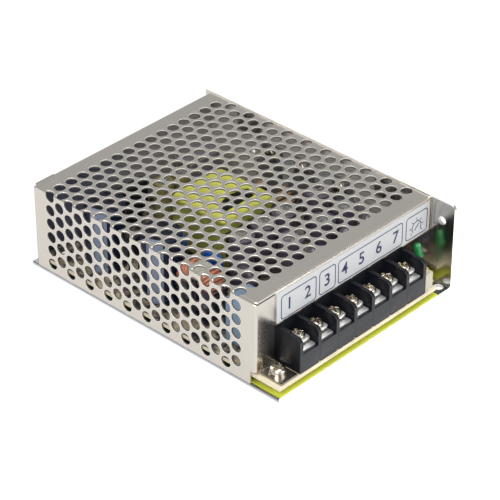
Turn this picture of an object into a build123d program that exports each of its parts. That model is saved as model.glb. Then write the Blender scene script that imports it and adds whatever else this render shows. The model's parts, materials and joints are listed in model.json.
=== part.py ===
"""Switching power supply in a perforated sheet-metal case. All sizes are in millimetres.

The case lies on its bottom plate. +X points at the solid wall, -Y at the terminals and +Z up.
The origin is the middle of the footprint, on the underside.
"""

import os
from math import pi

from build123d import *

os.makedirs("parts", exist_ok=True)

# Case
case_length = 129.0
case_width = 98.0
case_height = 38.0
chassis_sheet = 1.2
chassis_fold = 1.8
front_tab = 11.5
rear_tab = 2.5
tab_corner = 3.0

# Cover
cover_sheet = 0.8
cover_fold = 1.2
cover_drop = 0.8
wall_gap = 0.2
strip_width = 10.4
strip_relief = 1.2
strip_gap = 0.3
tongue_setback = 0.2
label_flange_gap = 1.1
rear_flange_lift = 0.6
side_notch_depth = 2.3

# Perforation, punched before folding: the rows and columns fill the sheet between these margins
hole_radius = 2.4
hole_pitch = 6.08
row_pitch = 5.08
first_row_margin = 9.1
last_row_margin = 9.0
first_hole_margin = 2.35
last_hole_margin = 2.95
side_hole_margin = 3.4
hole_relief = 0.4

# Circuit board and what carries it
board_lift = 2.8
board_sheet = 1.6
board_side_gap = 0.2
board_front_margin = 0.4
board_rear_gap = 1.8
tongue_wall_gap = 8.4
board_wall_gap = 2.7
board_shoulder = 9.1
film_sheet = 0.4
film_margin = 0.3
film_wall_gap = 0.7
film_tongue_gap = 7.4
film_shoulder = 7.4
standoff_radius = 3.0
standoff_clearance = 0.4
standoff_left_inset = 5.5
standoff_right_inset = 4.6
standoff_front_setback = 11.4
standoff_rear_inset = 5.0

# Screws
m3_radius = 1.5
m3_tap_radius = 1.25
m3_clearance_radius = 1.7
thread_gap = 0.05
pan_head_radius = 3.0
pan_head_height = 2.3
head_rim_share = 0.55
head_dome_width_share = 0.75
head_dome_height_share = 0.88
shank_end_gap = 0.4
washer_radius = 3.4
washer_sheet = 0.6
flush_head_radius = 2.7
flush_head_gap = 0.1
flush_head_sink = 0.05
side_screw_reach = 1.5
recess_width = 0.8
recess_length = 3.4
recess_depth = 1.1

# Fixing holes
wall_tab_hole_radius = 1.75
wall_tab_hole_height = 29.0
wall_tab_hole_margin = 5.7
floor_tab_hole_radius = 1.9
floor_tab_hole_margin = 3.5
floor_tab_hole_inset = 4.1
floor_thread_spacing_x = 66.0
floor_thread_spacing_y = 90.0
wall_thread_spacing = 77.0
wall_thread_height = 19.0

# Foot of the cover and its screw
foot_width = 8.7
foot_inset = 2.3
foot_length = 10.7
foot_screw_inset = 6.5
foot_screw_setback = 6.4

# Lugs that join the cover to the wall
lug_width = 12.0
lug_drop = 10.0
lug_hole_drop = 6.0
lug_front_setback = 21.0
lug_rear_setback = 22.0

# Terminal block, whose poles share the width between its insets
poles = 7
barrier_sheet = 1.6
block_depth = 16.0
block_front_setback = 0.2
block_left_inset = 12.0
block_right_inset = 15.8
barrier_height = 15.6
barrier_step = 0.6
barrier_step_setback = 5.6
barrier_chamfer = 1.6
pocket_floor_height = 7.7
pocket_back_wall = 4.0
shank_well_radius = 2.15
shank_well_floor = 1.0
seam_notch_radius = 0.8

# Terminal hardware
contact_sheet = 0.9
contact_side_gap = 0.45
contact_front_setback = 1.3
clamp_side_gap = 0.6
clamp_sheet = 1.0
clamp_lift = 1.0
clamp_corner = 0.8
clamp_bevel = 0.25
terminal_screw_setback = 6.8
terminal_shank_radius = 1.75
terminal_running_gap = 0.06
terminal_head_radius = 2.9
terminal_head_height = 2.2
terminal_shank_length = 8.0
slot_width = 0.8
slot_length = 4.2
slot_depth = 1.0

# Label
label_sheet = 0.2
label_margin = 0.7
label_top_gap = 0.14

# Lamp and trimmer
lamp_radius = 1.5
lamp_flange_radius = 1.9
lamp_flange_height = 0.9
lamp_body_height = 4.2
lamp_tilt = 12.0
lamp_wall_setback = 3.7
lamp_front_setback = 1.8
lamp_lead_radius = 0.3
lamp_lead_spacing = 2.0
lamp_lead_height = 8.1
trimmer_width = 4.2
trimmer_depth = 5.4
trimmer_height = 7.0
trimmer_block_gap = 0.9
trimmer_front_setback = 1.0
rotor_radius = 1.8
rotor_height = 1.0
rotor_gap = 0.05
rotor_sink = 0.8
rotor_slot_length = 2.8
rotor_slot_width = 0.6
rotor_slot_depth = 0.5
rotor_turn = 60.0

# Columns and rows of the parts on the board, counted from its edges and its middle
left_column_inset = 13.5
right_column_inset = 12.1
second_column_shift = -1.7
third_column_shift = 4.2
front_row_setback = 9.9
rear_row_inset = 9.4

# Transformer: a taped body round a core, with the crown of its bobbin showing on top
transformer_shift = (3.85, 6.25)
tape_width = 28.0
tape_length = 29.0
tape_height = 21.4
tape_rounding = 2.5
tape_top_rounding = 1.6
core_width = 26.0
core_length = 29.4
core_height = 11.0
core_leg = 2.8
core_yoke = 4.0
core_rounding = 0.6
centre_leg = 8.0
bobbin_wall = 0.8
bobbin_lift = 4.0
bobbin_width = 20.0
cheek_height = 18.6
crown_sink = 0.5
crown_points = ((-10.0, -9.5), (7.8, -9.5), (10.0, -4.2), (2.0, -1.9))

# Electrolytic capacitors
bulk_radius = 8.0
bulk_cover_gap = 2.8
first_bulk_shift = 2.25
second_bulk_inset = 21.4
output_radius = 5.0
output_height = 22.0
output_row_gap = 1.6
output_spacing = 11.5
supply_radius = 4.2
supply_height = 19.0
supply_shifts_x = (-1.5, 8.0)
supply_inset = 17.0
can_rounding = 0.8
crimp_height = 2.6
crimp_depth = 0.5
vent_depth = 0.3

# Box capacitors
line_capacitor_size = (12.5, 18.6, 18.4)
line_capacitor_gap = 0.3
line_capacitor_shift = 1.3
safety_capacitor_size = (18.0, 10.0, 20.0)
safety_capacitor_shift = 4.0
safety_capacitor_inset = 13.4
box_rounding = 0.8

# Ring chokes
ring_inner_radius = 4.6
ring_outer_radius = 9.0
ring_width = 7.0
winding_build = 1.4
winding_gap = 0.1
winding_sweep = 130.0
filter_choke_shift = (1.5, -16.75)
output_choke_shift = (5.5, 2.25)
divider_sheet = 1.2
choke_base_width = 11.0
choke_base_length = 16.0

# Disc parts, each on two leads
disc_radius = 4.6
disc_thickness = 3.6
disc_rounding = 1.25
disc_lift = 9.0
disc_shifts = ((0.1, 9.25), (-0.9, -10.75))
varistor_radius = 5.5
varistor_shift = (-2.3, 15.0)
thermistor_radius = 5.0
lead_radius = 0.35
lead_spacing = 5.0

# Fuse, bridge, resistors
fuse_radius = 4.2
fuse_height = 8.0
bridge_size = (20.0, 3.6, 15.0)
bridge_lift = 4.0
bridge_bevel = 0.7
bridge_leg_pitch = 5.0
bridge_shift = 10.5
resistor_radius = 1.5
resistor_length = 8.0
resistor_shift = 6.5
resistor_pitch = 6.0
resistor_rear_gap = 8.0

# Power devices screwed to the wall
device_shifts_y = (-15.75, 4.25, 21.25)
device_width = 10.0
device_thickness = 4.4
device_body_height = 9.0
device_lift = 5.4
device_tab_height = 6.4
device_tab_sheet = 1.3
device_leg = 0.8
device_leg_pitch = 2.54
device_hole_drop = 2.8
device_leg_inset = 1.3
pad_sheet = 0.3
pad_margin = 0.6
device_screw_length = 2.7

# Chips on the board
controller_size = (10.0, 6.4, 3.4)
controller_shift_y = 24.6
optocoupler_size = (4.6, 6.4, 3.6)
optocoupler_shift = (3.0, 14.25)
optocoupler_inset = 25.4
chip_lift = 0.4
chip_leg_pitch = 2.54
chip_leg_width = 0.6
chip_leg_rise = 2.0

# Overall places worked out from the case
left = -case_width / 2
right = case_width / 2
front = -case_length / 2
rear = case_length / 2
wall_face = right - chassis_sheet
floor_top = chassis_sheet
cover_front = front + front_tab
cover_rear = rear - rear_tab
cover_top = case_height - cover_drop
cover_under = cover_top - cover_sheet
cover_right = wall_face - wall_gap
cover_inside_left = left + cover_sheet
flange_left = left + strip_width
strip_right = flange_left - strip_gap
strip_top = cover_top - strip_relief
lug_hole_z = cover_top - lug_hole_drop
lug_places_y = (cover_front + lug_front_setback, cover_rear - lug_rear_setback)
board_bottom = floor_top + board_lift
board_top = board_bottom + board_sheet
board_left = cover_inside_left + board_side_gap
board_front = front + board_front_margin
board_rear = cover_rear - cover_sheet - board_rear_gap
board_right = wall_face - board_wall_gap
tongue_right = wall_face - tongue_wall_gap
shoulder_y = front + board_shoulder
foot_left = left + foot_inset
foot_front = cover_front - foot_length
foot_screw = (left + foot_screw_inset, front + foot_screw_setback)
film_left = cover_inside_left + film_margin
film_right = wall_face - film_wall_gap
film_tongue_right = wall_face - film_tongue_gap
film_rear = cover_rear - cover_sheet - film_margin
film_shoulder_y = front + film_shoulder
half_sheet = cover_sheet / 2
fold_line = cover_fold - half_sheet
side_notch_top = board_top + cover_fold
block_left = left + block_left_inset
block_right = right - block_right_inset
block_width = block_right - block_left
pole_pitch = (block_width - barrier_sheet) / poles
block_front = board_front + block_front_setback
block_back = block_front + block_depth
pocket_floor = board_top + pocket_floor_height
barrier_top = board_top + barrier_height
label_flange_bottom = barrier_top + label_flange_gap
terminal_y = block_front + terminal_screw_setback
terminal_x = [block_left + barrier_sheet / 2 + (n + 0.5) * pole_pitch for n in range(poles)]
contact_top = pocket_floor + contact_sheet
clamp_size = pole_pitch - barrier_sheet - 2 * clamp_side_gap
clamp_under = contact_top + clamp_lift
clamp_top = clamp_under + clamp_sheet
standoff_places = [
    foot_screw,
    (board_right - standoff_right_inset, shoulder_y + standoff_front_setback),
    (board_left + standoff_left_inset, board_rear - standoff_rear_inset),
    (board_right - standoff_right_inset, board_rear - standoff_rear_inset),
]

# Places of the parts on the board
middle_x = (board_left + board_right) / 2
middle_y = (block_back + board_rear) / 2
left_column = board_left + left_column_inset
right_column = board_right - right_column_inset
second_column = (left_column + middle_x) / 2 + second_column_shift
third_column = (middle_x + right_column) / 2 + third_column_shift
front_row = block_back + front_row_setback
rear_row = board_rear - rear_row_inset
transformer_x = middle_x + transformer_shift[0]
transformer_y = middle_y + transformer_shift[1]
inner_row = transformer_y - tape_length / 2 - output_row_gap - output_radius
between_row = (front_row + inner_row) / 2
bulk_places = ((left_column, middle_y + first_bulk_shift), (left_column, board_rear - second_bulk_inset))
bulk_height = cover_under - bulk_cover_gap - board_top
output_columns = (transformer_x, third_column, right_column)
output_places = [(x, y) for x in output_columns for y in (front_row, between_row)]
output_places += [(transformer_x + step * output_spacing, inner_row) for step in (-1, 0, 1)]
output_places.append((right_column, inner_row))
supply_places = [(transformer_x + x, board_rear - supply_inset) for x in supply_shifts_x]
line_capacitor_y = block_back + line_capacitor_gap + line_capacitor_size[1] / 2
line_capacitor_place = (left_column + line_capacitor_shift, line_capacitor_y)
safety_capacitor_place = (third_column + safety_capacitor_shift, board_rear - safety_capacitor_inset)
filter_choke_place = (left_column + filter_choke_shift[0], middle_y + filter_choke_shift[1])
output_choke_place = (third_column + output_choke_shift[0], middle_y + output_choke_shift[1])
disc_places = [(second_column + x, middle_y + y) for x, y in disc_shifts]
varistor_place = (second_column + varistor_shift[0], front_row + varistor_shift[1])
thermistor_place = (left_column, (bulk_places[0][1] + bulk_places[1][1]) / 2)
fuse_place = (second_column, front_row)
bridge_place = (middle_x - bridge_shift, rear_row)
resistor_x = middle_x - resistor_shift
resistor_places = [(resistor_x, front_row + step * resistor_pitch) for step in range(3)]
resistor_places.append((resistor_x, rear_row - resistor_rear_gap))
device_places_y = [middle_y + y for y in device_shifts_y]
controller_place = (third_column, middle_y + controller_shift_y)
optocoupler_x = right_column + optocoupler_shift[0]
optocoupler_places = (
    (optocoupler_x, middle_y + optocoupler_shift[1]),
    (optocoupler_x, board_rear - optocoupler_inset),
)


def keep(name, builder):
    """Label a finished piece and write it."""
    builder.part.label = name
    export_step(builder.part, f"parts/{name}.step")


def upright(x, y, z=0.0):
    """A vertical plane through x, y whose own x runs along +X and whose own y runs up."""
    return Plane(origin=(x, y, z), x_dir=(1, 0, 0), z_dir=(0, -1, 0))


def pin_axis(x, y):
    """The vertical axis through x, y."""
    return Axis((x, y, 0), (0, 0, 1))


# Chassis: one sheet folded up into the solid wall
device_hole_z = board_top + device_lift + device_body_height + device_tab_height - device_hole_drop
with BuildPart() as chassis:
    with BuildSketch(Plane.XZ.offset(-rear)):
        with BuildLine():
            FilletPolyline(
                (left, chassis_sheet / 2),
                (right - chassis_sheet / 2, chassis_sheet / 2),
                (right - chassis_sheet / 2, case_height),
                radius=chassis_fold - chassis_sheet / 2,
            )
        trace(line_width=chassis_sheet)
    extrude(amount=case_length)
    wall_corners = chassis.edges().filter_by(Axis.X).group_by(Axis.Z)[-1].sort_by(Axis.Y)
    fillet(wall_corners[0], radius=tab_corner)
    with BuildSketch(Plane.YZ.offset(right)):
        with Locations((front + wall_tab_hole_margin, wall_tab_hole_height)):
            Circle(wall_tab_hole_radius)
        with Locations((0, wall_thread_height)):
            with GridLocations(wall_thread_spacing, 1, 2, 1):
                Circle(m3_tap_radius)
        with Locations(*[(y, device_hole_z) for y in device_places_y]):
            Circle(m3_radius + thread_gap)
    extrude(amount=-chassis_sheet, mode=Mode.SUBTRACT)
    with BuildSketch():
        with Locations((right - floor_tab_hole_inset, front + floor_tab_hole_margin)):
            Circle(floor_tab_hole_radius)
        with GridLocations(floor_thread_spacing_x, floor_thread_spacing_y, 2, 2):
            Circle(m3_tap_radius)
    extrude(amount=chassis_sheet, mode=Mode.SUBTRACT)
    for lug_y in lug_places_y:
        with BuildSketch(Plane.XY.offset(lug_hole_z)):
            with BuildLine():
                Polyline(
                    (wall_face, lug_y),
                    (right, lug_y),
                    (right, lug_y + flush_head_radius),
                    (wall_face, lug_y + m3_radius + thread_gap),
                    close=True,
                )
            make_face()
        revolve(axis=Axis((0, lug_y, lug_hole_z), (1, 0, 0)), mode=Mode.SUBTRACT)
keep("chassis", chassis)

# Cover: one perforated sheet folded into top, side, flanges, strips, lugs and foot
first_column = left + first_hole_margin
fold_allowance = 2 * cover_fold - pi / 2 * (cover_fold - half_sheet)
first_drop = hole_pitch - first_hole_margin + fold_allowance
hole_rows = 1 + int((cover_rear - cover_front - first_row_margin - last_row_margin) / row_pitch)
top_pairs = int((cover_right - first_column - last_hole_margin) / hole_pitch)
side_pairs = int((cover_top - first_drop - floor_top - side_hole_margin) / hole_pitch + 1 / 2)
top_holes = []
fold_holes = []
side_holes = []
for row in range(hole_rows):
    y = cover_rear - first_row_margin - row * row_pitch
    odd = row % 2
    even = 1 - odd
    top_holes += [(first_column + (pair + even / 2) * hole_pitch, y) for pair in range(top_pairs + odd)]
    side_holes += [(y, cover_top - first_drop - (pair + even / 2) * hole_pitch) for pair in range(side_pairs)]
    if even:
        fold_holes.append((y, cover_top - first_drop + hole_pitch / 2))

with BuildPart() as mesh_cover:
    with BuildSketch(Plane.XZ.offset(cover_fold - cover_rear)):
        with BuildLine():
            FilletPolyline(
                (left + half_sheet, floor_top),
                (left + half_sheet, cover_top - half_sheet),
                (cover_right, cover_top - half_sheet),
                radius=fold_line,
            )
        trace(line_width=cover_sheet)
    extrude(amount=cover_rear - cover_front - 2 * cover_fold)
    # lugs folded down inside the wall
    with BuildSketch(Plane.XY.offset(cover_under)):
        with Locations(*[(cover_right - cover_fold, lug_y) for lug_y in lug_places_y]):
            Rectangle(cover_fold, lug_width, align=(Align.MIN, Align.CENTER))
    extrude(amount=cover_sheet, mode=Mode.SUBTRACT)
    for lug_y in lug_places_y:
        with BuildSketch(Plane.XZ.offset(-lug_y - lug_width / 2)):
            with BuildLine():
                FilletPolyline(
                    (cover_right - 2 * cover_fold, cover_top - half_sheet),
                    (cover_right - half_sheet, cover_top - half_sheet),
                    (cover_right - half_sheet, cover_top - lug_drop),
                    radius=fold_line,
                )
            trace(line_width=cover_sheet)
        extrude(amount=lug_width)
    with BuildSketch(Plane.YZ.offset(cover_right)):
        with Locations(*[(lug_y, lug_hole_z) for lug_y in lug_places_y]):
            Circle(m3_radius + thread_gap)
    extrude(amount=-cover_sheet, mode=Mode.SUBTRACT)
    # round holes of the flat top and side, and the ones that wrap round the fold
    with BuildSketch(Plane.XY.offset(cover_top)):
        with Locations(*top_holes):
            Circle(hole_radius)
        with Locations(*[(first_column - hole_pitch / 2, y) for y, z in fold_holes]):
            Circle(hole_radius)
    extrude(amount=-cover_sheet - hole_relief, mode=Mode.SUBTRACT)
    with BuildSketch(Plane.YZ.offset(left)):
        with Locations(*side_holes, *fold_holes):
            Circle(hole_radius)
    extrude(amount=cover_sheet + hole_relief, mode=Mode.SUBTRACT)
    # corner notch at the foot of the side
    with BuildSketch(Plane.YZ.offset(left)):
        with Locations((cover_front + cover_fold, floor_top)):
            Rectangle(
                side_notch_depth - cover_fold,
                side_notch_top - floor_top,
                align=(Align.MIN, Align.MIN),
            )
    extrude(amount=cover_sheet, mode=Mode.SUBTRACT)
    # tongues of the top over the front and rear strips
    with BuildSketch(Plane.XY.offset(cover_under)):
        for tongue_y, side in ((cover_front + cover_fold, Align.MAX), (cover_rear - cover_fold, Align.MIN)):
            with Locations((left + cover_fold, tongue_y)):
                Rectangle(
                    flange_left - left - cover_fold,
                    cover_fold - tongue_setback,
                    align=(Align.MIN, side),
                )
    extrude(amount=cover_sheet)
    # label flange and rear flange folded down from the top
    for fold_y, into, flange_bottom in (
        (cover_front, 1, label_flange_bottom),
        (cover_rear, -1, floor_top + rear_flange_lift),
    ):
        with BuildSketch(Plane.YZ.offset(flange_left)):
            with BuildLine():
                FilletPolyline(
                    (fold_y + into * 2 * cover_fold, cover_top - half_sheet),
                    (fold_y + into * half_sheet, cover_top - half_sheet),
                    (fold_y + into * half_sheet, flange_bottom),
                    radius=fold_line,
                )
            trace(line_width=cover_sheet)
        extrude(amount=cover_right - flange_left)
    # strips folded round from the side
    for fold_y, into, strip_bottom in (
        (cover_front, 1, side_notch_top),
        (cover_rear, -1, floor_top),
    ):
        with BuildSketch(Plane.XY.offset(strip_bottom)):
            with BuildLine():
                FilletPolyline(
                    (left + half_sheet, fold_y + into * 2 * cover_fold),
                    (left + half_sheet, fold_y + into * half_sheet),
                    (strip_right, fold_y + into * half_sheet),
                    radius=fold_line,
                )
            trace(line_width=cover_sheet)
        extrude(amount=strip_top - strip_bottom)
    # foot folded forward from the front strip onto the board
    with BuildSketch(Plane.YZ.offset(foot_left)):
        with BuildLine():
            FilletPolyline(
                (cover_front + half_sheet, side_notch_top + cover_fold),
                (cover_front + half_sheet, board_top + half_sheet),
                (foot_front, board_top + half_sheet),
                radius=fold_line,
            )
        trace(line_width=cover_sheet)
    extrude(amount=foot_width)
    with BuildSketch(Plane.XY.offset(board_top)):
        with Locations(foot_screw):
            Circle(m3_clearance_radius)
    extrude(amount=cover_sheet, mode=Mode.SUBTRACT)
keep("mesh_cover", mesh_cover)

# Insulating film on the bottom plate
with BuildPart() as insulation_film:
    with BuildSketch(Plane.XY.offset(floor_top)):
        with BuildLine():
            Polyline(
                (film_left, film_rear),
                (film_right, film_rear),
                (film_right, film_shoulder_y),
                (film_tongue_right, film_shoulder_y),
                (film_tongue_right, front + film_margin),
                (film_left, front + film_margin),
                close=True,
            )
        make_face()
        with Locations(*standoff_places):
            Circle(standoff_radius + standoff_clearance, mode=Mode.SUBTRACT)
    extrude(amount=film_sheet)
keep("insulation_film", insulation_film)

# Hexagonal standoffs under the board
with BuildPart() as board_standoffs:
    with BuildSketch(Plane.XY.offset(floor_top)):
        with Locations(*standoff_places):
            RegularPolygon(standoff_radius, 6)
            Circle(m3_radius + thread_gap, mode=Mode.SUBTRACT)
    extrude(amount=board_lift)
keep("board_standoffs", board_standoffs)

# Circuit board with a tongue that carries the terminals
with BuildPart() as circuit_board:
    with BuildSketch(Plane.XY.offset(board_bottom)):
        with BuildLine():
            Polyline(
                (board_left, board_rear),
                (board_right, board_rear),
                (board_right, shoulder_y),
                (tongue_right, shoulder_y),
                (tongue_right, board_front),
                (board_left, board_front),
                close=True,
            )
        make_face()
        with Locations(*standoff_places):
            Circle(m3_clearance_radius, mode=Mode.SUBTRACT)
    extrude(amount=board_sheet)
keep("circuit_board", circuit_board)


def pan_screw(x, y, seat, length):
    """A vertical pan-head cross-recess screw with its head on seat, and length of shank below it."""
    rim = (pan_head_radius, seat + head_rim_share * pan_head_height)
    dome = (head_dome_width_share * pan_head_radius, seat + head_dome_height_share * pan_head_height)
    crown = (0, seat + pan_head_height)
    with BuildPart() as screw:
        with BuildSketch(upright(x, y)):
            with BuildLine():
                Polyline(
                    crown,
                    (0, seat - length),
                    (m3_radius, seat - length),
                    (m3_radius, seat),
                    (pan_head_radius, seat),
                    rim,
                )
                ThreePointArc(rim, dome, crown)
            make_face()
        revolve(axis=pin_axis(x, y))
        with BuildSketch(Plane.XY.offset(seat + pan_head_height)):
            with Locations((x, y)):
                Rectangle(recess_length, recess_width, rotation=45)
                Rectangle(recess_length, recess_width, rotation=-45)
        extrude(amount=-recess_depth, mode=Mode.SUBTRACT)
    return screw


# Screws of the board, and the one with a washer that also holds the cover's foot
shank_end = floor_top + shank_end_gap
with BuildPart() as board_screws:
    for x, y in standoff_places[1:]:
        add(pan_screw(x, y, board_top, board_top - shank_end).part)
keep("board_screws", board_screws)
with BuildPart() as foot_washer:
    with BuildSketch(Plane.XY.offset(board_top + cover_sheet)):
        with Locations(foot_screw):
            Circle(washer_radius)
            Circle(m3_clearance_radius, mode=Mode.SUBTRACT)
    extrude(amount=washer_sheet)
keep("foot_washer", foot_washer)
foot_screw_seat = board_top + cover_sheet + washer_sheet
keep("foot_screw", pan_screw(*foot_screw, foot_screw_seat, foot_screw_seat - shank_end))

# Flush screws from the wall into the cover's lugs
side_screw_end = cover_right - cover_sheet - side_screw_reach
side_screw_head = right - flush_head_sink
with BuildPart() as cover_side_screws:
    for lug_y in lug_places_y:
        with BuildSketch(Plane.XY.offset(lug_hole_z)):
            with BuildLine():
                Polyline(
                    (side_screw_end, lug_y),
                    (side_screw_head, lug_y),
                    (side_screw_head, lug_y + flush_head_radius - flush_head_gap),
                    (wall_face, lug_y + m3_radius),
                    (side_screw_end, lug_y + m3_radius),
                    close=True,
                )
            make_face()
        revolve(axis=Axis((0, lug_y, lug_hole_z), (1, 0, 0)))
        with BuildSketch(Plane.YZ.offset(right)):
            with Locations((lug_y, lug_hole_z)):
                Rectangle(recess_length, recess_width)
                Rectangle(recess_width, recess_length)
        extrude(amount=-recess_depth, mode=Mode.SUBTRACT)
keep("cover_side_screws", cover_side_screws)

# Terminal block: a moulding with a pocket for each pole
with BuildPart() as terminal_block:
    with BuildSketch(Plane.XY.offset(board_top)):
        with Locations((block_left, block_front)):
            Rectangle(block_width, block_depth, align=(Align.MIN, Align.MIN))
    extrude(amount=pocket_floor_height)
    with BuildSketch(Plane.XY.offset(pocket_floor)):
        with Locations((block_left, block_back)):
            Rectangle(block_width, pocket_back_wall, align=(Align.MIN, Align.MAX))
    extrude(amount=barrier_top - pocket_floor)
    for barrier in range(poles + 1):
        with BuildSketch(Plane.YZ.offset(block_left + barrier * pole_pitch)):
            with BuildLine():
                Polyline(
                    (block_front, pocket_floor),
                    (block_front, barrier_top - barrier_step - barrier_chamfer),
                    (block_front + barrier_chamfer, barrier_top - barrier_step),
                    (block_front + barrier_step_setback, barrier_top - barrier_step),
                    (block_front + barrier_step_setback, barrier_top),
                    (block_back, barrier_top),
                    (block_back, pocket_floor),
                    close=True,
                )
            make_face()
        extrude(amount=barrier_sheet)
    with BuildSketch(Plane.XY.offset(pocket_floor)):
        with Locations(*[(x, terminal_y) for x in terminal_x]):
            Circle(shank_well_radius)
    extrude(amount=shank_well_floor - pocket_floor_height, mode=Mode.SUBTRACT)
    with BuildSketch(Plane.XZ.offset(-block_front)):
        with Locations(*[(x + pole_pitch / 2, board_top) for x in terminal_x[:-1]]):
            Circle(seam_notch_radius)
    extrude(amount=-seam_notch_radius, mode=Mode.SUBTRACT)
keep("terminal_block", terminal_block)

# Contact plates on the pocket floors
with BuildPart() as terminal_contacts:
    with BuildSketch(Plane.XY.offset(pocket_floor)):
        with Locations(*[(x, block_front + contact_front_setback) for x in terminal_x]):
            Rectangle(
                pole_pitch - barrier_sheet - 2 * contact_side_gap,
                block_depth - pocket_back_wall - contact_front_setback,
                align=(Align.CENTER, Align.MIN),
            )
        with Locations(*[(x, terminal_y) for x in terminal_x]):
            Circle(terminal_shank_radius + terminal_running_gap, mode=Mode.SUBTRACT)
    extrude(amount=contact_sheet)
keep("terminal_contacts", terminal_contacts)

# Clamp washers and cross-slotted screws, one of each to a pole
screw_end = clamp_top - terminal_shank_length
screw_rim = clamp_top + head_rim_share * terminal_head_height
screw_dome = clamp_top + head_dome_height_share * terminal_head_height
screw_crown = clamp_top + terminal_head_height
for pole, x in enumerate(terminal_x, start=1):
    with BuildPart() as clamp:
        with BuildSketch(Plane.XY.offset(clamp_under)):
            with Locations((x, terminal_y)):
                RectangleRounded(clamp_size, clamp_size, clamp_corner)
                Circle(terminal_shank_radius + terminal_running_gap, mode=Mode.SUBTRACT)
        extrude(amount=clamp_sheet)
        top_rim = clamp.faces().sort_by(Axis.Z)[-1].outer_wire().edges().filter_by(GeomType.LINE)
        chamfer(top_rim, length=clamp_bevel)
    keep(f"terminal_clamp_{pole}", clamp)
    with BuildPart() as screw:
        with BuildSketch(upright(x, terminal_y)):
            with BuildLine():
                Polyline(
                    (0, screw_crown),
                    (0, screw_end),
                    (terminal_shank_radius, screw_end),
                    (terminal_shank_radius, clamp_top),
                    (terminal_head_radius, clamp_top),
                    (terminal_head_radius, screw_rim),
                )
                ThreePointArc(
                    (terminal_head_radius, screw_rim),
                    (head_dome_width_share * terminal_head_radius, screw_dome),
                    (0, screw_crown),
                )
            make_face()
        revolve(axis=pin_axis(x, terminal_y))
        with BuildSketch(Plane.XY.offset(screw_crown)):
            with Locations((x, terminal_y)):
                Rectangle(slot_length, slot_width, rotation=45)
                Rectangle(slot_length, slot_width, rotation=-45)
        extrude(amount=-slot_depth, mode=Mode.SUBTRACT)
    keep(f"terminal_screw_{pole}", screw)

# Label plate on the flange
label_bottom = label_flange_bottom + label_margin
label_top = cover_top - cover_fold - label_top_gap
with BuildPart() as label_plate:
    with BuildSketch(Plane.XZ.offset(-cover_front)):
        with Locations((flange_left + label_margin, label_bottom)):
            Rectangle(
                cover_right - flange_left - 2 * label_margin,
                label_top - label_bottom,
                align=(Align.MIN, Align.MIN),
            )
    extrude(amount=label_sheet)
keep("label_plate", label_plate)

# Indicator lamp leaning back on its two leads
lamp_x = board_right - lamp_wall_setback
lamp_y = shoulder_y + lamp_front_setback
lamp_base = Plane((lamp_x, lamp_y, board_top + lamp_lead_height)).rotated((-lamp_tilt, 0, 0))
with BuildPart() as indicator_lamp:
    with BuildSketch(lamp_base):
        Circle(lamp_flange_radius)
    extrude(amount=lamp_flange_height)
    with BuildSketch(lamp_base):
        Circle(lamp_radius)
    extrude(amount=lamp_body_height)
    with Locations(lamp_base.offset(lamp_body_height)):
        Sphere(lamp_radius)
    with BuildSketch(Plane.XY.offset(board_top)):
        with Locations((lamp_x, lamp_y)):
            with GridLocations(lamp_lead_spacing, 1, 2, 1):
                Circle(lamp_lead_radius)
    extrude(amount=lamp_lead_height + lamp_lead_radius)
keep("indicator_lamp", indicator_lamp)

# Trimmer beside the terminals
trimmer_x = block_right + trimmer_block_gap + trimmer_width / 2
trimmer_y = board_front + trimmer_front_setback + trimmer_depth / 2
trimmer_top = board_top + trimmer_height
with BuildPart() as trimmer_body:
    with BuildSketch(Plane.XY.offset(board_top)):
        with Locations((trimmer_x, trimmer_y)):
            Rectangle(trimmer_width, trimmer_depth)
    extrude(amount=trimmer_height)
    with BuildSketch(Plane.XY.offset(trimmer_top)):
        with Locations((trimmer_x, trimmer_y)):
            Circle(rotor_radius + rotor_gap)
    extrude(amount=-rotor_sink - rotor_gap, mode=Mode.SUBTRACT)
keep("trimmer_body", trimmer_body)
with BuildPart() as trimmer_rotor:
    with BuildSketch(Plane.XY.offset(trimmer_top - rotor_sink)):
        with Locations((trimmer_x, trimmer_y)):
            Circle(rotor_radius)
    extrude(amount=rotor_sink + rotor_height)
    with BuildSketch(Plane.XY.offset(trimmer_top + rotor_height)):
        with Locations((trimmer_x, trimmer_y)):
            Rectangle(rotor_slot_length, rotor_slot_width, rotation=rotor_turn)
            Rectangle(rotor_slot_width, rotor_slot_length, rotation=rotor_turn)
    extrude(amount=-rotor_slot_depth, mode=Mode.SUBTRACT)
keep("trimmer_rotor", trimmer_rotor)

# Transformer: ferrite core, bobbin with a crown, and the winding under its tape
tape_bottom = board_top + bobbin_lift
tape_top = tape_bottom + tape_height
transformer_axis = (tape_bottom + tape_top) / 2
bobbin_bore = centre_leg / 2 + bobbin_wall
window_length = core_length - 2 * core_yoke
crown_bottom = transformer_axis + centre_leg / 2
crown_corners = [(transformer_x + x, transformer_y + y) for x, y in crown_points]


def crown_sketch(height):
    """The outline of the bobbin's crown at the given height: straight in front, curved behind."""
    with BuildSketch(Plane.XY.offset(height)) as outline:
        with BuildLine():
            Polyline(*crown_corners[:3])
            ThreePointArc(crown_corners[2], crown_corners[3], crown_corners[0])
        make_face()
    return outline.sketch


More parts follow.
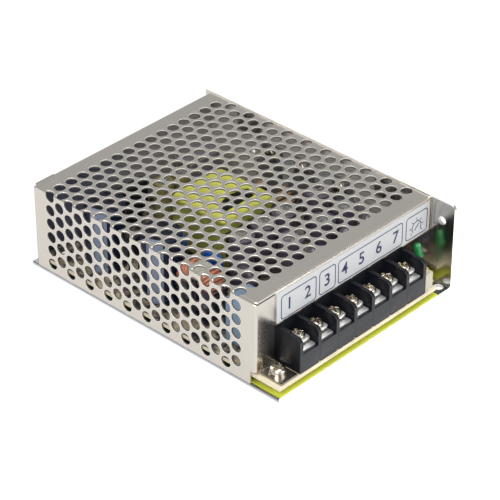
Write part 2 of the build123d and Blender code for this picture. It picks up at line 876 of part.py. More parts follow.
with BuildPart() as transformer_core:
    with BuildSketch(Plane.XY.offset(transformer_axis - core_height / 2)):
        with Locations((transformer_x, transformer_y)):
            RectangleRounded(core_width, core_length, core_rounding)
            Rectangle(core_width - 2 * core_leg, window_length, mode=Mode.SUBTRACT)
    extrude(amount=core_height)
    with BuildSketch(Plane.XY.offset(transformer_axis - centre_leg / 2)):
        with Locations((transformer_x, transformer_y)):
            Rectangle(centre_leg, core_length - core_yoke)
    extrude(amount=centre_leg)
keep("transformer_core", transformer_core)
with BuildPart() as transformer_bobbin:
    with BuildSketch(Plane.XY.offset(board_top)):
        with Locations((transformer_x, transformer_y)):
            Rectangle(bobbin_width, window_length)
    extrude(amount=bobbin_lift)
    cheeks = Plane.XZ.offset(-transformer_y - window_length / 2)
    for cheek in (cheeks, cheeks.offset(window_length - bobbin_wall)):
        with BuildSketch(cheek):
            with Locations((transformer_x, tape_bottom)):
                Rectangle(bobbin_width, cheek_height, align=(Align.CENTER, Align.MIN))
        extrude(amount=bobbin_wall)
    with BuildSketch(cheeks):
        with Locations((transformer_x, transformer_axis)):
            Rectangle(2 * bobbin_bore, 2 * bobbin_bore)
    extrude(amount=window_length)
    extrude(crown_sketch(crown_bottom), amount=tape_top - crown_sink - crown_bottom)
    with BuildSketch(cheeks):
        with Locations((transformer_x, transformer_axis)):
            Rectangle(centre_leg, centre_leg)
    extrude(amount=window_length, mode=Mode.SUBTRACT)
keep("transformer_bobbin", transformer_bobbin)
with BuildPart() as transformer_winding:
    with BuildSketch(Plane.XY.offset(tape_bottom)):
        with Locations((transformer_x, transformer_y)):
            RectangleRounded(tape_width, tape_length, tape_rounding)
    extrude(amount=tape_height)
    fillet(transformer_winding.edges().group_by(Axis.Z)[-1], radius=tape_top_rounding)
    add([transformer_core.part, transformer_bobbin.part], mode=Mode.SUBTRACT)
    extrude(crown_sketch(crown_bottom), amount=tape_top - crown_bottom, mode=Mode.SUBTRACT)
keep("transformer_winding", transformer_winding)


def can(x, y, radius, height):
    """An upright electrolytic capacitor with a crimp near its foot and a scored lid."""
    top = board_top + height
    crimp = board_top + crimp_height
    with BuildPart() as body:
        with BuildSketch(upright(x, y)):
            with BuildLine():
                Polyline((0, board_top), (radius, board_top), (radius, crimp - crimp_depth))
                ThreePointArc(
                    (radius, crimp - crimp_depth),
                    (radius - crimp_depth, crimp),
                    (radius, crimp + crimp_depth),
                )
                Polyline(
                    (radius, crimp + crimp_depth),
                    (radius, top),
                    (0, top),
                    (0, board_top),
                )
            make_face()
        revolve(axis=pin_axis(x, y))
        fillet(body.edges().group_by(Axis.Z)[-1], radius=can_rounding)
        with BuildSketch(Plane.XY.offset(top)):
            with Locations((x, y)):
                Rectangle(radius, vent_depth)
                Rectangle(vent_depth, radius)
        extrude(amount=-vent_depth, mode=Mode.SUBTRACT)
    return body


for number, place in enumerate(bulk_places, start=1):
    keep(f"bulk_capacitor_{number}", can(*place, bulk_radius, bulk_height))
with BuildPart() as output_capacitors:
    for place in output_places:
        add(can(*place, output_radius, output_height).part)
keep("output_capacitors", output_capacitors)
with BuildPart() as supply_capacitors:
    for place in supply_places:
        add(can(*place, supply_radius, supply_height).part)
keep("supply_capacitors", supply_capacitors)


def moulded_box(place, size):
    """A box part standing on the board, with rounded upright and top edges."""
    with BuildPart() as body:
        with BuildSketch(Plane.XY.offset(board_top)):
            with Locations(place):
                RectangleRounded(size[0], size[1], box_rounding)
        extrude(amount=size[2])
        fillet(body.edges().group_by(Axis.Z)[-1], radius=box_rounding / 2)
    return body


keep("line_capacitor", moulded_box(line_capacitor_place, line_capacitor_size))
keep("safety_capacitor", moulded_box(safety_capacitor_place, safety_capacitor_size))


def ring_plane(place):
    """Plane through the middle of an upright ring choke, facing +X."""
    return Plane.YZ.offset(place[0]).shift_origin(
        (place[0], place[1], board_top + divider_sheet + ring_outer_radius + winding_build)
    )


def ring_core(place):
    """Ring of ferrite with its axis along X."""
    with BuildPart() as core:
        with BuildSketch(ring_plane(place)):
            Circle(ring_outer_radius)
            Circle(ring_inner_radius, mode=Mode.SUBTRACT)
        extrude(amount=ring_width / 2, both=True)
    return core


def ring_winding(place):
    """Two coils wound round a ring, one on each side of the upright gap."""
    middle = ring_plane(place)
    section = Plane(middle.origin, x_dir=middle.x_dir, z_dir=(0, 0, 1))
    band = (ring_outer_radius + ring_inner_radius) / 2
    depth = ring_outer_radius - ring_inner_radius
    with BuildPart() as coils:
        for turn in (-winding_sweep / 2, 180 - winding_sweep / 2):
            with BuildSketch(section):
                with Locations((band, 0)):
                    RectangleRounded(
                        depth + 2 * winding_build,
                        ring_width + 2 * winding_build,
                        winding_build,
                    )
                    Rectangle(depth + 2 * winding_gap, ring_width + 2 * winding_gap, mode=Mode.SUBTRACT)
            coil = revolve(
                axis=Axis(middle.origin, middle.z_dir),
                revolution_arc=winding_sweep,
                mode=Mode.PRIVATE,
            )
            add(coil.rotate(Axis(middle.origin, middle.z_dir), turn))
    return coils


keep("filter_choke_core", ring_core(filter_choke_place))
keep("filter_choke_winding", ring_winding(filter_choke_place))
keep("output_choke_core", ring_core(output_choke_place))
keep("output_choke_winding", ring_winding(output_choke_place))

# Base of the filter choke with a divider standing in the ring
filter_choke_plane = ring_plane(filter_choke_place)
with BuildPart() as filter_choke_base:
    with BuildSketch(Plane.XY.offset(board_top)):
        with Locations(filter_choke_place):
            Rectangle(choke_base_width, choke_base_length)
    extrude(amount=divider_sheet)
    with BuildSketch(filter_choke_plane):
        with Locations((0, -ring_outer_radius)):
            Rectangle(divider_sheet, winding_build + divider_sheet / 2, align=(Align.CENTER, Align.MAX))
    extrude(amount=ring_width / 2, both=True)
    with BuildSketch(filter_choke_plane):
        Rectangle(divider_sheet, 2 * ring_inner_radius - 2 * winding_gap)
    extrude(amount=ring_width / 2, both=True)
keep("filter_choke_base", filter_choke_base)
with BuildPart() as output_choke_base:
    with BuildSketch(Plane.XY.offset(board_top)):
        with Locations(output_choke_place):
            Rectangle(ring_width, choke_base_length)
    extrude(amount=divider_sheet)
    with BuildSketch(ring_plane(output_choke_place)):
        with Locations((0, -ring_outer_radius)):
            Rectangle(divider_sheet, winding_build + divider_sheet / 2, align=(Align.CENTER, Align.MAX))
    extrude(amount=ring_width / 2, both=True)
keep("output_choke_base", output_choke_base)


def disc(x, y, radius, facing):
    """A coated disc on two leads, its flat side facing the given unit direction."""
    centre = (x, y, board_top + disc_lift + radius)
    middle = Plane(centre, x_dir=(-facing[1], facing[0], 0), z_dir=(*facing, 0))
    with BuildPart() as body:
        with BuildSketch(middle):
            Circle(radius)
        extrude(amount=disc_thickness / 2, both=True)
        fillet(body.edges().filter_by(GeomType.CIRCLE), radius=disc_rounding)
        with BuildSketch(Plane((x, y, board_top), x_dir=middle.x_dir)):
            with GridLocations(lead_spacing, 1, 2, 1):
                Circle(lead_radius)
        extrude(amount=disc_lift + radius)
    return body


with BuildPart() as disc_capacitors:
    for place in disc_places:
        add(disc(*place, disc_radius, (1, 0)).part)
keep("disc_capacitors", disc_capacitors)
keep("varistor", disc(*varistor_place, varistor_radius, (1, 0)))
keep("thermistor", disc(*thermistor_place, thermistor_radius, (0, 1)))

# Fuse, bridge rectifier and resistors
with BuildPart() as fuse:
    with BuildSketch(Plane.XY.offset(board_top)):
        with Locations(fuse_place):
            Circle(fuse_radius)
    extrude(amount=fuse_height)
    fillet(fuse.edges().group_by(Axis.Z)[-1], radius=can_rounding)
keep("fuse", fuse)
with BuildPart() as bridge_rectifier:
    with BuildSketch(Plane.XY.offset(board_top + bridge_lift)):
        with Locations(bridge_place):
            Rectangle(bridge_size[0], bridge_size[1])
    extrude(amount=bridge_size[2])
    chamfer(bridge_rectifier.edges().group_by(Axis.Z)[-1], length=bridge_bevel)
    with BuildSketch(Plane.XY.offset(board_top)):
        with Locations(bridge_place):
            with GridLocations(bridge_leg_pitch, 1, 4, 1):
                Rectangle(device_leg, device_leg)
    extrude(amount=bridge_lift)
keep("bridge_rectifier", bridge_rectifier)
with BuildPart() as resistors:
    for x, y in resistor_places:
        with BuildSketch(Plane.YZ.offset(x)):
            with Locations((y, board_top + resistor_radius)):
                Circle(resistor_radius)
        extrude(amount=resistor_length / 2, both=True)
keep("resistors", resistors)

# Power devices against the wall, on an insulating pad
pad_face = wall_face - pad_sheet
device_front = pad_face - device_thickness
device_bottom = board_top + device_lift
device_top = device_bottom + device_body_height + device_tab_height
with BuildPart() as device_pad:
    with BuildSketch(Plane.YZ.offset(pad_face)):
        with Locations((device_places_y[0] - device_width / 2 - pad_margin, device_bottom - pad_margin)):
            Rectangle(
                device_places_y[-1] - device_places_y[0] + device_width + 2 * pad_margin,
                device_top - device_bottom + 2 * pad_margin,
                align=(Align.MIN, Align.MIN),
            )
        with Locations(*[(y, device_hole_z) for y in device_places_y]):
            Circle(m3_clearance_radius, mode=Mode.SUBTRACT)
    extrude(amount=pad_sheet)
keep("device_pad", device_pad)
with BuildPart() as power_devices:
    for y in device_places_y:
        with BuildSketch(Plane.YZ.offset(pad_face)):
            with Locations((y, device_bottom)):
                Rectangle(device_width, device_body_height, align=(Align.CENTER, Align.MIN))
        extrude(amount=-device_thickness)
        with BuildSketch(Plane.YZ.offset(pad_face)):
            with Locations((y, device_bottom)):
                Rectangle(device_width, device_top - device_bottom, align=(Align.CENTER, Align.MIN))
            with Locations((y, device_hole_z)):
                Circle(m3_clearance_radius, mode=Mode.SUBTRACT)
        extrude(amount=-device_tab_sheet)
        with BuildSketch(Plane.XY.offset(board_top)):
            with Locations((device_front + device_leg_inset, y)):
                with GridLocations(1, device_leg_pitch, 1, 3):
                    Rectangle(device_leg, device_leg)
        extrude(amount=device_lift)
keep("power_devices", power_devices)
with BuildPart() as device_screws:
    for y in device_places_y:
        head_seat = pad_face - device_tab_sheet
        with BuildSketch(Plane.YZ.offset(head_seat)):
            with Locations((y, device_hole_z)):
                Circle(pan_head_radius)
        extrude(amount=-pan_head_height)
        with BuildSketch(Plane.YZ.offset(head_seat)):
            with Locations((y, device_hole_z)):
                Circle(m3_radius)
        extrude(amount=device_screw_length)
        with BuildSketch(Plane.YZ.offset(head_seat - pan_head_height)):
            with Locations((y, device_hole_z)):
                Rectangle(recess_length, recess_width)
                Rectangle(recess_width, recess_length)
        extrude(amount=recess_depth, mode=Mode.SUBTRACT)
    rims = device_screws.edges().filter_by(GeomType.CIRCLE).group_by(Axis.X)[0]
    fillet(rims, radius=recess_width)
keep("device_screws", device_screws)


def chips(places, size, leg_grid):
    """Moulded packages on a grid of legs, given as its two pitches and its two counts."""
    with BuildPart() as body:
        with BuildSketch(Plane.XY.offset(board_top + chip_lift)):
            with Locations(*places):
                Rectangle(size[0], size[1])
        extrude(amount=size[2] - chip_lift)
        for place in places:
            with BuildSketch(Plane.XY.offset(board_top)):
                with Locations(place):
                    with GridLocations(*leg_grid):
                        Rectangle(chip_leg_width, chip_leg_width)
            extrude(amount=chip_leg_rise)
    return body


controller_legs = (chip_leg_pitch, controller_size[1], 4, 2)
optocoupler_legs = (optocoupler_size[0], chip_leg_pitch, 2, 2)
keep("controller", chips([controller_place], controller_size, controller_legs))
keep("optocouplers", chips(optocoupler_places, optocoupler_size, optocoupler_legs))
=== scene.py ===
"""Looks of a switching power supply in a perforated case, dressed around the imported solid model.

Lengths in the classes are millimetres, as in the solid model; meshes are written in metres.
+X points at the solid wall, -Y at the terminals and +Z up.
"""

from __future__ import annotations

import json
import logging
import math
from collections.abc import Mapping, Sequence
from dataclasses import dataclass, field
from enum import Enum
from functools import cache

import bmesh
import bpy
import numpy as np
from mathutils import Matrix, Vector

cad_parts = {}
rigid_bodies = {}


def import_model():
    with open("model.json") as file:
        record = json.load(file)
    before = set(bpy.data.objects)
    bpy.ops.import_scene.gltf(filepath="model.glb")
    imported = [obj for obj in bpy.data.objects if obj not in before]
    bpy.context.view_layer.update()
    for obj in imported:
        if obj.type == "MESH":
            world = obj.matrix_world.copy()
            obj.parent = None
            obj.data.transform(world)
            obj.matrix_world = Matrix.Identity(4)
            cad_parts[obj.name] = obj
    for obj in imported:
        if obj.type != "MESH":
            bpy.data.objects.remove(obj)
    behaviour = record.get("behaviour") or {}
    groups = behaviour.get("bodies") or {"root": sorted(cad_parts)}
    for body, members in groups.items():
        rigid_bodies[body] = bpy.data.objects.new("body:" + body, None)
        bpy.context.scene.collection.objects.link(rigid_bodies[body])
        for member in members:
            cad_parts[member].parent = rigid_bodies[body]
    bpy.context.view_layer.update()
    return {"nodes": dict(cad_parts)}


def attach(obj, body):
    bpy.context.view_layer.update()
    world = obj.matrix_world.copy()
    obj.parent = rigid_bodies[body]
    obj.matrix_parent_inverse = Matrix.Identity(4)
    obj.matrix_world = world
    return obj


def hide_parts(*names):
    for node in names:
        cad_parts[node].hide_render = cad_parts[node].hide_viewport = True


log = logging.getLogger("power_supply")
MM = 0.001
TURN = 2 * math.pi
CASE = "case"

# The middle range that a noise mostly keeps, and the scale of the metals' broad stains
NOISE_RANGE = (0.3, 0.7)
STAIN_SCALE = 35.0

# Terminals along X: the first one's middle, and the step
FIRST_POLE = -31.3
POLE_PITCH = 9.8

# Meshes: points closer than WELD (metres) become one; angles in degrees between faces that
# count as flat, that are rounded, and that stay sharp
WELD = 2e-7
FLAT_WITHIN = 0.5
ROUNDED_OVER = 30.0
SHARP_OVER = 38.0

Colour = tuple[float, float, float]
Point = tuple[float, float, float]
Pair = tuple[float, float]
Surface = tuple[np.ndarray, np.ndarray]
Nodes = Mapping[str, bpy.types.Object]


# Shader graphs


class Sock:
    """An output socket that makes Math nodes from Python's operators."""

    def __init__(self, graph: Graph, socket: bpy.types.NodeSocket) -> None:
        """Keep the graph that the socket belongs to."""
        self.graph = graph
        self.socket = socket

    def _math(self, kind: str, first: object, second: object = None) -> Sock:
        """Add one Math node and return its value."""
        values = {0: first} if second is None else {0: first, 1: second}
        return self.graph.add("ShaderNodeMath", {"operation": kind}, values)

    def __add__(self, other: object) -> Sock:
        """Sum."""
        return self._math("ADD", self, other)

    def __radd__(self, other: object) -> Sock:
        """Sum, reflected."""
        return self._math("ADD", other, self)

    def __sub__(self, other: object) -> Sock:
        """Difference."""
        return self._math("SUBTRACT", self, other)

    def __rsub__(self, other: object) -> Sock:
        """Difference, reflected."""
        return self._math("SUBTRACT", other, self)

    def __mul__(self, other: object) -> Sock:
        """Product."""
        return self._math("MULTIPLY", self, other)

    def __rmul__(self, other: object) -> Sock:
        """Product, reflected."""
        return self._math("MULTIPLY", other, self)

    def __truediv__(self, other: object) -> Sock:
        """Quotient."""
        return self._math("DIVIDE", self, other)

    def __gt__(self, other: object) -> Sock:
        """One where this is greater, else zero."""
        return self._math("GREATER_THAN", self, other)

    def __lt__(self, other: object) -> Sock:
        """One where this is less, else zero."""
        return self._math("LESS_THAN", self, other)

    def __abs__(self) -> Sock:
        """Size without sign."""
        return self._math("ABSOLUTE", self)

    def most(self, other: object) -> Sock:
        """The greater of the two."""
        return self._math("MAXIMUM", self, other)

    def least(self, other: object) -> Sock:
        """The lesser of the two."""
        return self._math("MINIMUM", self, other)

    def fraction(self) -> Sock:
        """What is left without the whole part."""
        return self._math("FRACT", self)

    def root(self) -> Sock:
        """Square root."""
        return self._math("SQRT", self)


class Graph:
    """A material's node tree, and short calls that add nodes."""

    def __init__(self, name: str) -> None:
        """Make an empty material with an output node."""
        self.material = bpy.data.materials.new(name)
        self.material.use_nodes = True
        self.tree = self.material.node_tree
        self.tree.nodes.clear()
        self.output = self.tree.nodes.new("ShaderNodeOutputMaterial")

    def node(self, kind: str, settings: Mapping[str, object], inputs: Mapping) -> bpy.types.Node:
        """Add a node.

        Args:
            kind: The node's type.
            settings: Its properties, set first.
            inputs: Values, Socks or colours by socket name or number.

        Returns:
            The node.
        """
        made = self.tree.nodes.new(kind)
        for key, value in settings.items():
            setattr(made, key, value)
        for key, value in inputs.items():
            socket = made.inputs[key]
            if isinstance(value, Sock):
                self.tree.links.new(value.socket, socket)
            elif isinstance(value, tuple) and socket.type == "RGBA":
                socket.default_value = (*value, 1.0)
            else:
                socket.default_value = value
        return made

    def add(
        self, kind: str, settings: Mapping[str, object], inputs: Mapping, out: int | str = 0
    ) -> Sock:
        """Add a node and return one of its outputs."""
        return Sock(self, self.node(kind, settings, inputs).outputs[out])

    def place(self, scale: Point = (1.0, 1.0, 1.0), centre: Pair = (0.0, 0.0)) -> Sock:
        """Object coordinates.

        Args:
            scale: What they are multiplied by along X, Y and Z.
            centre: The x and y in mm that come out as zero.

        Returns:
            The vector.
        """
        coords = self.add("ShaderNodeTexCoord", {}, {}, "Object")
        shift = tuple(-c * MM * s for c, s in zip((*centre, 0.0), scale))
        values = {"Vector": coords, "Location": shift, "Scale": scale}
        return self.add("ShaderNodeMapping", {}, values)

    def axes(self, vector: Sock) -> tuple[Sock, Sock, Sock]:
        """The X, Y and Z parts of a vector."""
        made = self.node("ShaderNodeSeparateXYZ", {}, {0: vector})
        return tuple(Sock(self, made.outputs[i]) for i in range(3))

    def noise(self, vector: Sock, scale: float, detail: float = 3.0, rough: float = 0.55) -> Sock:
        """Noise from 0 to 1."""
        values = {"Vector": vector, "Scale": scale, "Detail": detail, "Roughness": rough}
        return self.add("ShaderNodeTexNoise", {}, values, "Fac")

    def span(
        self, value: Sock, low: float, high: float, start: float = 0.0, end: float = 1.0
    ) -> Sock:
        """Map value from low..high to start..end, held at both ends."""
        values = {"Value": value, 1: low, 2: high, 3: start, 4: end}
        return self.add("ShaderNodeMapRange", {"clamp": True}, values)

    def fade(self, length: Sock, places: Pair) -> Sock:
        """Zero up to the first of two places in mm, one from the second."""
        return self.span(length, places[0] * MM, places[1] * MM)

    def stretch(self, noise: Sock, limits: Pair = (0.0, 1.0)) -> Sock:
        """Map the range that a noise mostly keeps to the limits."""
        return self.span(noise, *NOISE_RANGE, *limits)

    def mixed(self, first: Sock, second: Sock, share: float) -> Sock:
        """A share of the first noise and the rest of the second, stretched to 0 to 1."""
        return self.stretch(first * share + second * (1 - share))

    def blend(self, factor: Sock, first: Sock | Colour, second: Sock | Colour) -> Sock:
        """Mix two colours."""
        return self.add("ShaderNodeMix", {"data_type": "RGBA"}, {0: factor, 6: first, 7: second}, 2)

    def uneven(self, tone: Sock, colour: Colour, share: float) -> Sock:
        """A colour that is darker by a share where tone is zero and lighter by it where one."""
        return self.blend(tone, shade(colour, 1 - share), shade(colour, 1 + share))

    def matt(self, rough: Sock, *areas: tuple[Sock, Pair]) -> tuple[Sock, Sock]:
        """Take metal away and add roughness in some areas.

        Metal is the product of 1 - area x loss; roughness is rough + the sum of area x gain.

        Args:
            rough: The roughness elsewhere.
            areas: Masks, each with its loss of metal and its gain of roughness.

        Returns:
            Values for Metallic and Roughness.
        """
        metal = 1.0
        for area, (loss, gain) in areas:
            metal = metal * (1.0 - area * loss)
            rough = rough + area * gain
        return metal, rough

    def bump(self, height: Sock, distance: float) -> Sock:
        """A bumped normal, its distance in metres."""
        return self.add("ShaderNodeBump", {}, {"Height": height, "Distance": distance}, "Normal")

    def finish(self, **inputs: object) -> bpy.types.Material:
        """Join a Principled shader to the output.

        Args:
            inputs: Its sockets, their names with underscores for spaces.

        Returns:
            The material.
        """
        named = {key.replace("_", " "): value for key, value in inputs.items()}
        shader = self.add("ShaderNodeBsdfPrincipled", {}, named)
        self.tree.links.new(shader.socket, self.output.inputs[0])
        return self.material


def shade(colour: Colour, factor: float) -> Colour:
    """A colour made lighter or darker."""
    return tuple(min(1.0, c * factor) for c in colour)


class Grain(Enum):
    """How a surface's texture is scaled along X, Y and Z."""

    EVEN = (1.0, 1.0, 1.0)
    ALONG_X = (0.06, 1.0, 1.0)
    ALONG_Z = (1.0, 1.0, 0.05)
    WOVEN = (1.0, 0.2, 1.0)


class Finish:
    """Colours and measures of one material."""

    name: str

    def build(self) -> bpy.types.Material:
        """Make the material and return it."""
        raise NotImplementedError


@cache
def material(finish: Finish) -> bpy.types.Material:
    """A finish's material, made once."""
    return finish.build()


@dataclass(frozen=True)
class Metal(Finish):
    """Bare or plated metal with rolling grain, faint stains and uneven gloss."""

    name: str
    colour: Colour
    roughness: Pair
    grain: Grain = Grain.EVEN
    scale: float = 2500.0
    stain: float = 0.06
    depth: float = 0.000006

    def build(self) -> bpy.types.Material:
        """Colour is base x (1 +- stain); gloss varies with a broad and a fine noise.

        Returns:
            The material.
        """
        g = Graph(self.name)
        fine = g.noise(g.place(self.grain.value), self.scale, 4.0, 0.6)
        broad = g.noise(g.place(), STAIN_SCALE, 3.0, 0.5)
        return g.finish(
            Base_Color=g.uneven(g.mixed(broad, fine, 0.65), self.colour, self.stain),
            Metallic=1.0,
            Roughness=g.stretch(fine * 0.6 + broad * 0.4, self.roughness),
            Normal=g.bump(fine, self.depth),
        )


@dataclass(frozen=True)
class CutSheet(Finish):
    """Rolled sheet with pale top and front edges, sheared and partly a painted highlight.

    Under the cover the inner face is painted darker as shade, and less glossy. A matt pair is
    the loss of metal and the gain of roughness in an area.
    """

    name: str = "chassis_steel"
    colour: Colour = (0.62, 0.60, 0.56)
    # The next colour is pale sheared steel along the edges, partly a painted highlight.
    edge: Colour = (0.86, 0.85, 0.83)
    # The next colour is painted shade on the inner face under the cover.
    inside_shade: Colour = (0.56, 0.52, 0.48)
    plate_edge: Colour = (0.36, 0.37, 0.40)
    # The next colour is a painted shadow in the gap under the cover's side.
    joint: Colour = (0.10, 0.10, 0.11)
    stain: float = 0.08
    grain_scale: float = 800.0
    roughness: Pair = (0.16, 0.25)
    depth: float = 0.000007
    top: float = 37.35
    front: float = -64.4
    inner_face: float = 48.2
    dull_shade_from: Pair = (-44.0, -30.0)
    plate_top: float = 1.3
    plate_left: float = -48.7
    plate_rear: float = 62.05
    joint_from: float = 0.9
    edge_matt: Pair = (0.75, 0.3)
    dull_matt: Pair = (0.8, 0.25)
    plate_matt: Pair = (0.6, 0.2)

    def build(self) -> bpy.types.Material:
        """Edges are where z is above top or y before front; painted shade fades in along y on
        the wall's inner face, which also loses gloss there.

        The bottom plate's left and rear edges are grey, with a dark line under the cover that is
        a painted shadow in the gap.

        Returns:
            The material.
        """
        g = Graph(self.name)
        at = g.place()
        x, y, z = g.axes(at)
        # Pale edges: sheared steel, partly a painted highlight.
        edge = (z > self.top * MM).most(y < self.front * MM)
        # Painted shade: the wall's inner face under the cover, darker and less glossy.
        dull_shade = g.fade(y, self.dull_shade_from) * (x < self.inner_face * MM)
        low = z < self.plate_top * MM
        left, rear = low * (x < self.plate_left * MM), low * (y > self.plate_rear * MM)
        plate = left.most(rear)
        grain = g.noise(g.place(Grain.ALONG_Z.value), self.grain_scale, 4.0, 0.6)
        broad = g.noise(at, STAIN_SCALE)
        face = g.uneven(g.mixed(broad, grain, 0.6), self.colour, self.stain)
        walls = g.blend(edge, g.blend(dull_shade, face, self.inside_shade), self.edge)
        # A dark line painted as the shadow in the gap along the plate's left edge.
        rim = g.blend(left * (z > self.joint_from * MM), self.plate_edge, self.joint)
        metal, rough = g.matt(
            g.stretch(grain * 0.6 + broad * 0.4, self.roughness),
            (edge, self.edge_matt), (dull_shade, self.dull_matt), (plate, self.plate_matt),
        )
        return g.finish(
            Base_Color=g.blend(plate, walls, rim),
            Metallic=metal,
            Roughness=rough,
            Normal=g.bump(grain, self.depth),
        )


@dataclass(frozen=True)
class PunchedSteel(Finish):
    """Satin cover sheet with pale, rounded rims round its punched holes, painted highlights.

    The holes stand on two interleaved lattices, on the top over x and y and on the side over z
    and y. Where a lattice has no hole, far is added to the distance. A matt pair is the loss of
    metal and the gain of roughness in an area.
    """

    name: str = "cover_steel"
    colour: Colour = (0.70, 0.655, 0.59)
    # The next colour is a painted highlight round the holes.
    rim: Colour = (0.88, 0.845, 0.79)
    # The next colour is painted shade on the hole walls below the pale land.
    wall_shade: Colour = (0.13, 0.12, 0.11)
    # The next two colours are painted shade on the rear wall's inner face, the second to the left.
    behind: Colour = (0.42, 0.385, 0.38)
    rear_shade_left: Colour = (0.10, 0.105, 0.15)
    stain: float = 0.04
    # A darker copy of the colour for the side, a painted shade.
    side_shade: float = 0.95
    # A darker copy of the colour for the foot, a painted shade.
    foot_shade: float = 0.5
    fine_scale: float = 1400.0
    roughness: Pair = (0.17, 0.25)
    depth: float = 0.00007
    wall_matt: Pair = (0.6, 0.25)
    rear_matt: Pair = (0.9, 0.3)
    top: float = 37.2
    left: float = -49.0
    side_within: float = 0.1
    rear_inner: Pair = (61.1, 61.3)
    behind_fade: Pair = (-25.0, 20.0)
    foot_top: float = 7.5
    foot_from: float = -53.6
    radius: float = 2.4
    rim_width: float = 0.27
    wall_reach: float = 0.02
    land: Pair = (0.20, 0.32)
    pitch: float = 6.08
    row: float = 5.08
    top_start: Pair = (-43.61, 52.9)
    side_start: Pair = (29.287, 52.9)
    top_above: float = 36.3
    last_even_x: float = 44.9
    lowest_odd_z: float = 5.2
    rows_from: float = -46.16
    rows_to: float = 55.42
    far: float = 10.0

    def lattice_distance(self, across: Sock, along: Sock, start: Pair, shift: float) -> Sock:
        """Distance from the nearest hole's centre of one lattice.

        Each way it is pitch x |frac((place - start) / pitch + shift + 1/2) - 1/2|.

        Args:
            across: The place across the rows, over which pitch is the step.
            along: The place along y, over which two rows are the step.
            start: The first hole's two places.
            shift: Zero for the even lattice, a half for the odd one.

        Returns:
            The distance in metres.
        """
        parts = []
        ways = (across, start[0], self.pitch), (along, start[1], 2 * self.row)
        for place, origin, step in ways:
            share = (place - origin * MM) / (step * MM) + (shift + 0.5)
            away = abs(share.fraction() - 0.5) * (step * MM)
            parts.append(away * away)
        return (parts[0] + parts[1]).root()

    def hole_distance(self, x: Sock, y: Sock, z: Sock, on_top: Sock) -> Sock:
        """Distance from the nearest hole's centre, the lesser of both lattices on either face.

        Args:
            x: The place along X.
            y: The place along Y.
            z: The place along Z.
            on_top: One on the top, zero on the side.

        Returns:
            The distance in metres.
        """
        far = self.far * MM
        top_even, top_odd = (self.lattice_distance(x, y, self.top_start, s) for s in (0.0, 0.5))
        side_even, side_odd = (self.lattice_distance(z, y, self.side_start, s) for s in (0.0, 0.5))
        over = (top_even + (x > self.last_even_x * MM) * far).least(top_odd)
        beside = side_even.least(side_odd + (z < self.lowest_odd_z * MM) * far)
        outside = (y < self.rows_from * MM) + (y > self.rows_to * MM)
        return beside + (over - beside) * on_top + outside * far

    def build(self) -> bpy.types.Material:
        """The rim is where the distance is under radius + rim width; hole walls lie within it.

        The rim's pale colour is a painted highlight. Below the pale land a hole's wall is
        painted dark as shade. The rear wall's inner face loses gloss and is painted darker as
        shade, more so to the left; the foot is painted darker as shade, the side a little.

        Returns:
            The material.
        """
        g = Graph(self.name)
        at = g.place()
        x, y, z = g.axes(at)
        on_top = z > self.top_above * MM
        distance = self.hole_distance(x, y, z, on_top)
        plain = g.fade(distance, (self.radius, self.radius + self.rim_width))
        wall = distance < (self.radius + self.wall_reach) * MM
        from_side = x - self.left * MM
        depth = from_side + (self.top * MM - z - from_side) * on_top
        # Painted shade: the hole wall below the pale land.
        wall_shade = wall * g.fade(depth, self.land)
        side = from_side < self.side_within * MM
        foot = (z < self.foot_top * MM) * (y < self.foot_from * MM) * (1.0 - side)
        rear = (y > self.rear_inner[0] * MM) * (y < self.rear_inner[1] * MM)
        fine = g.noise(at, self.fine_scale, 4.0, 0.6)
        tone = g.mixed(g.noise(at, STAIN_SCALE), fine, 0.6)
        above = g.uneven(tone, self.colour, self.stain)
        # Painted shade: the side is a little darker than the top.
        beside = g.uneven(tone, shade(self.colour, self.side_shade), self.stain)
        # Painted shade: the foot gets a darker copy of the colour.
        face = g.blend(foot, g.blend(side, above, beside), shade(self.colour, self.foot_shade))
        # The pale rim is a painted highlight; the dark hole wall below the land is painted shade.
        sheet = g.blend(wall_shade, g.blend(plain, self.rim, face), self.wall_shade)
        # Painted shade on the rear wall's inner face, darker and bluer to the left.
        rear_shade = g.blend(g.fade(x, self.behind_fade), self.rear_shade_left, self.behind)
        metal, rough = g.matt(
            g.stretch(fine, self.roughness), (wall, self.wall_matt), (rear, self.rear_matt)
        )
        return g.finish(
            Base_Color=g.blend(rear, sheet, rear_shade),
            Metallic=metal,
            Roughness=rough,
            Normal=g.bump(plain * 0.9 + fine * 0.02, self.depth),
        )


@dataclass(frozen=True)
class Plastic(Finish):
    """Moulded, dipped or sleeved plastic with a fine texture and slight colour drift."""

    name: str
    colour: Colour
    roughness: float = 0.42
    scale: float = 1500.0
    drift: float = 0.08
    depth: float = 0.00001
    coat: float = 0.0
    through: float = 0.0
    specular: float = 0.5
    spread: float = 0.05
    broad_scale: float = 60.0

    def build(self) -> bpy.types.Material:
        """Colour drifts with a broad noise; texture bumps with a fine one.

        Returns:
            The material.
        """
        g = Graph(self.name)
        fine = g.noise(g.place(), self.scale, 3.0)
        broad = g.noise(g.place(), self.broad_scale, 2.0)
        return g.finish(
            Base_Color=g.uneven(g.mixed(broad, fine, 0.7), self.colour, self.drift),
            Roughness=g.stretch(fine, (self.roughness - self.spread, self.roughness + self.spread)),
            Coat_Weight=self.coat,
            Transmission_Weight=self.through,
            Specular_IOR_Level=self.specular,
            Normal=g.bump(fine, self.depth),
        )


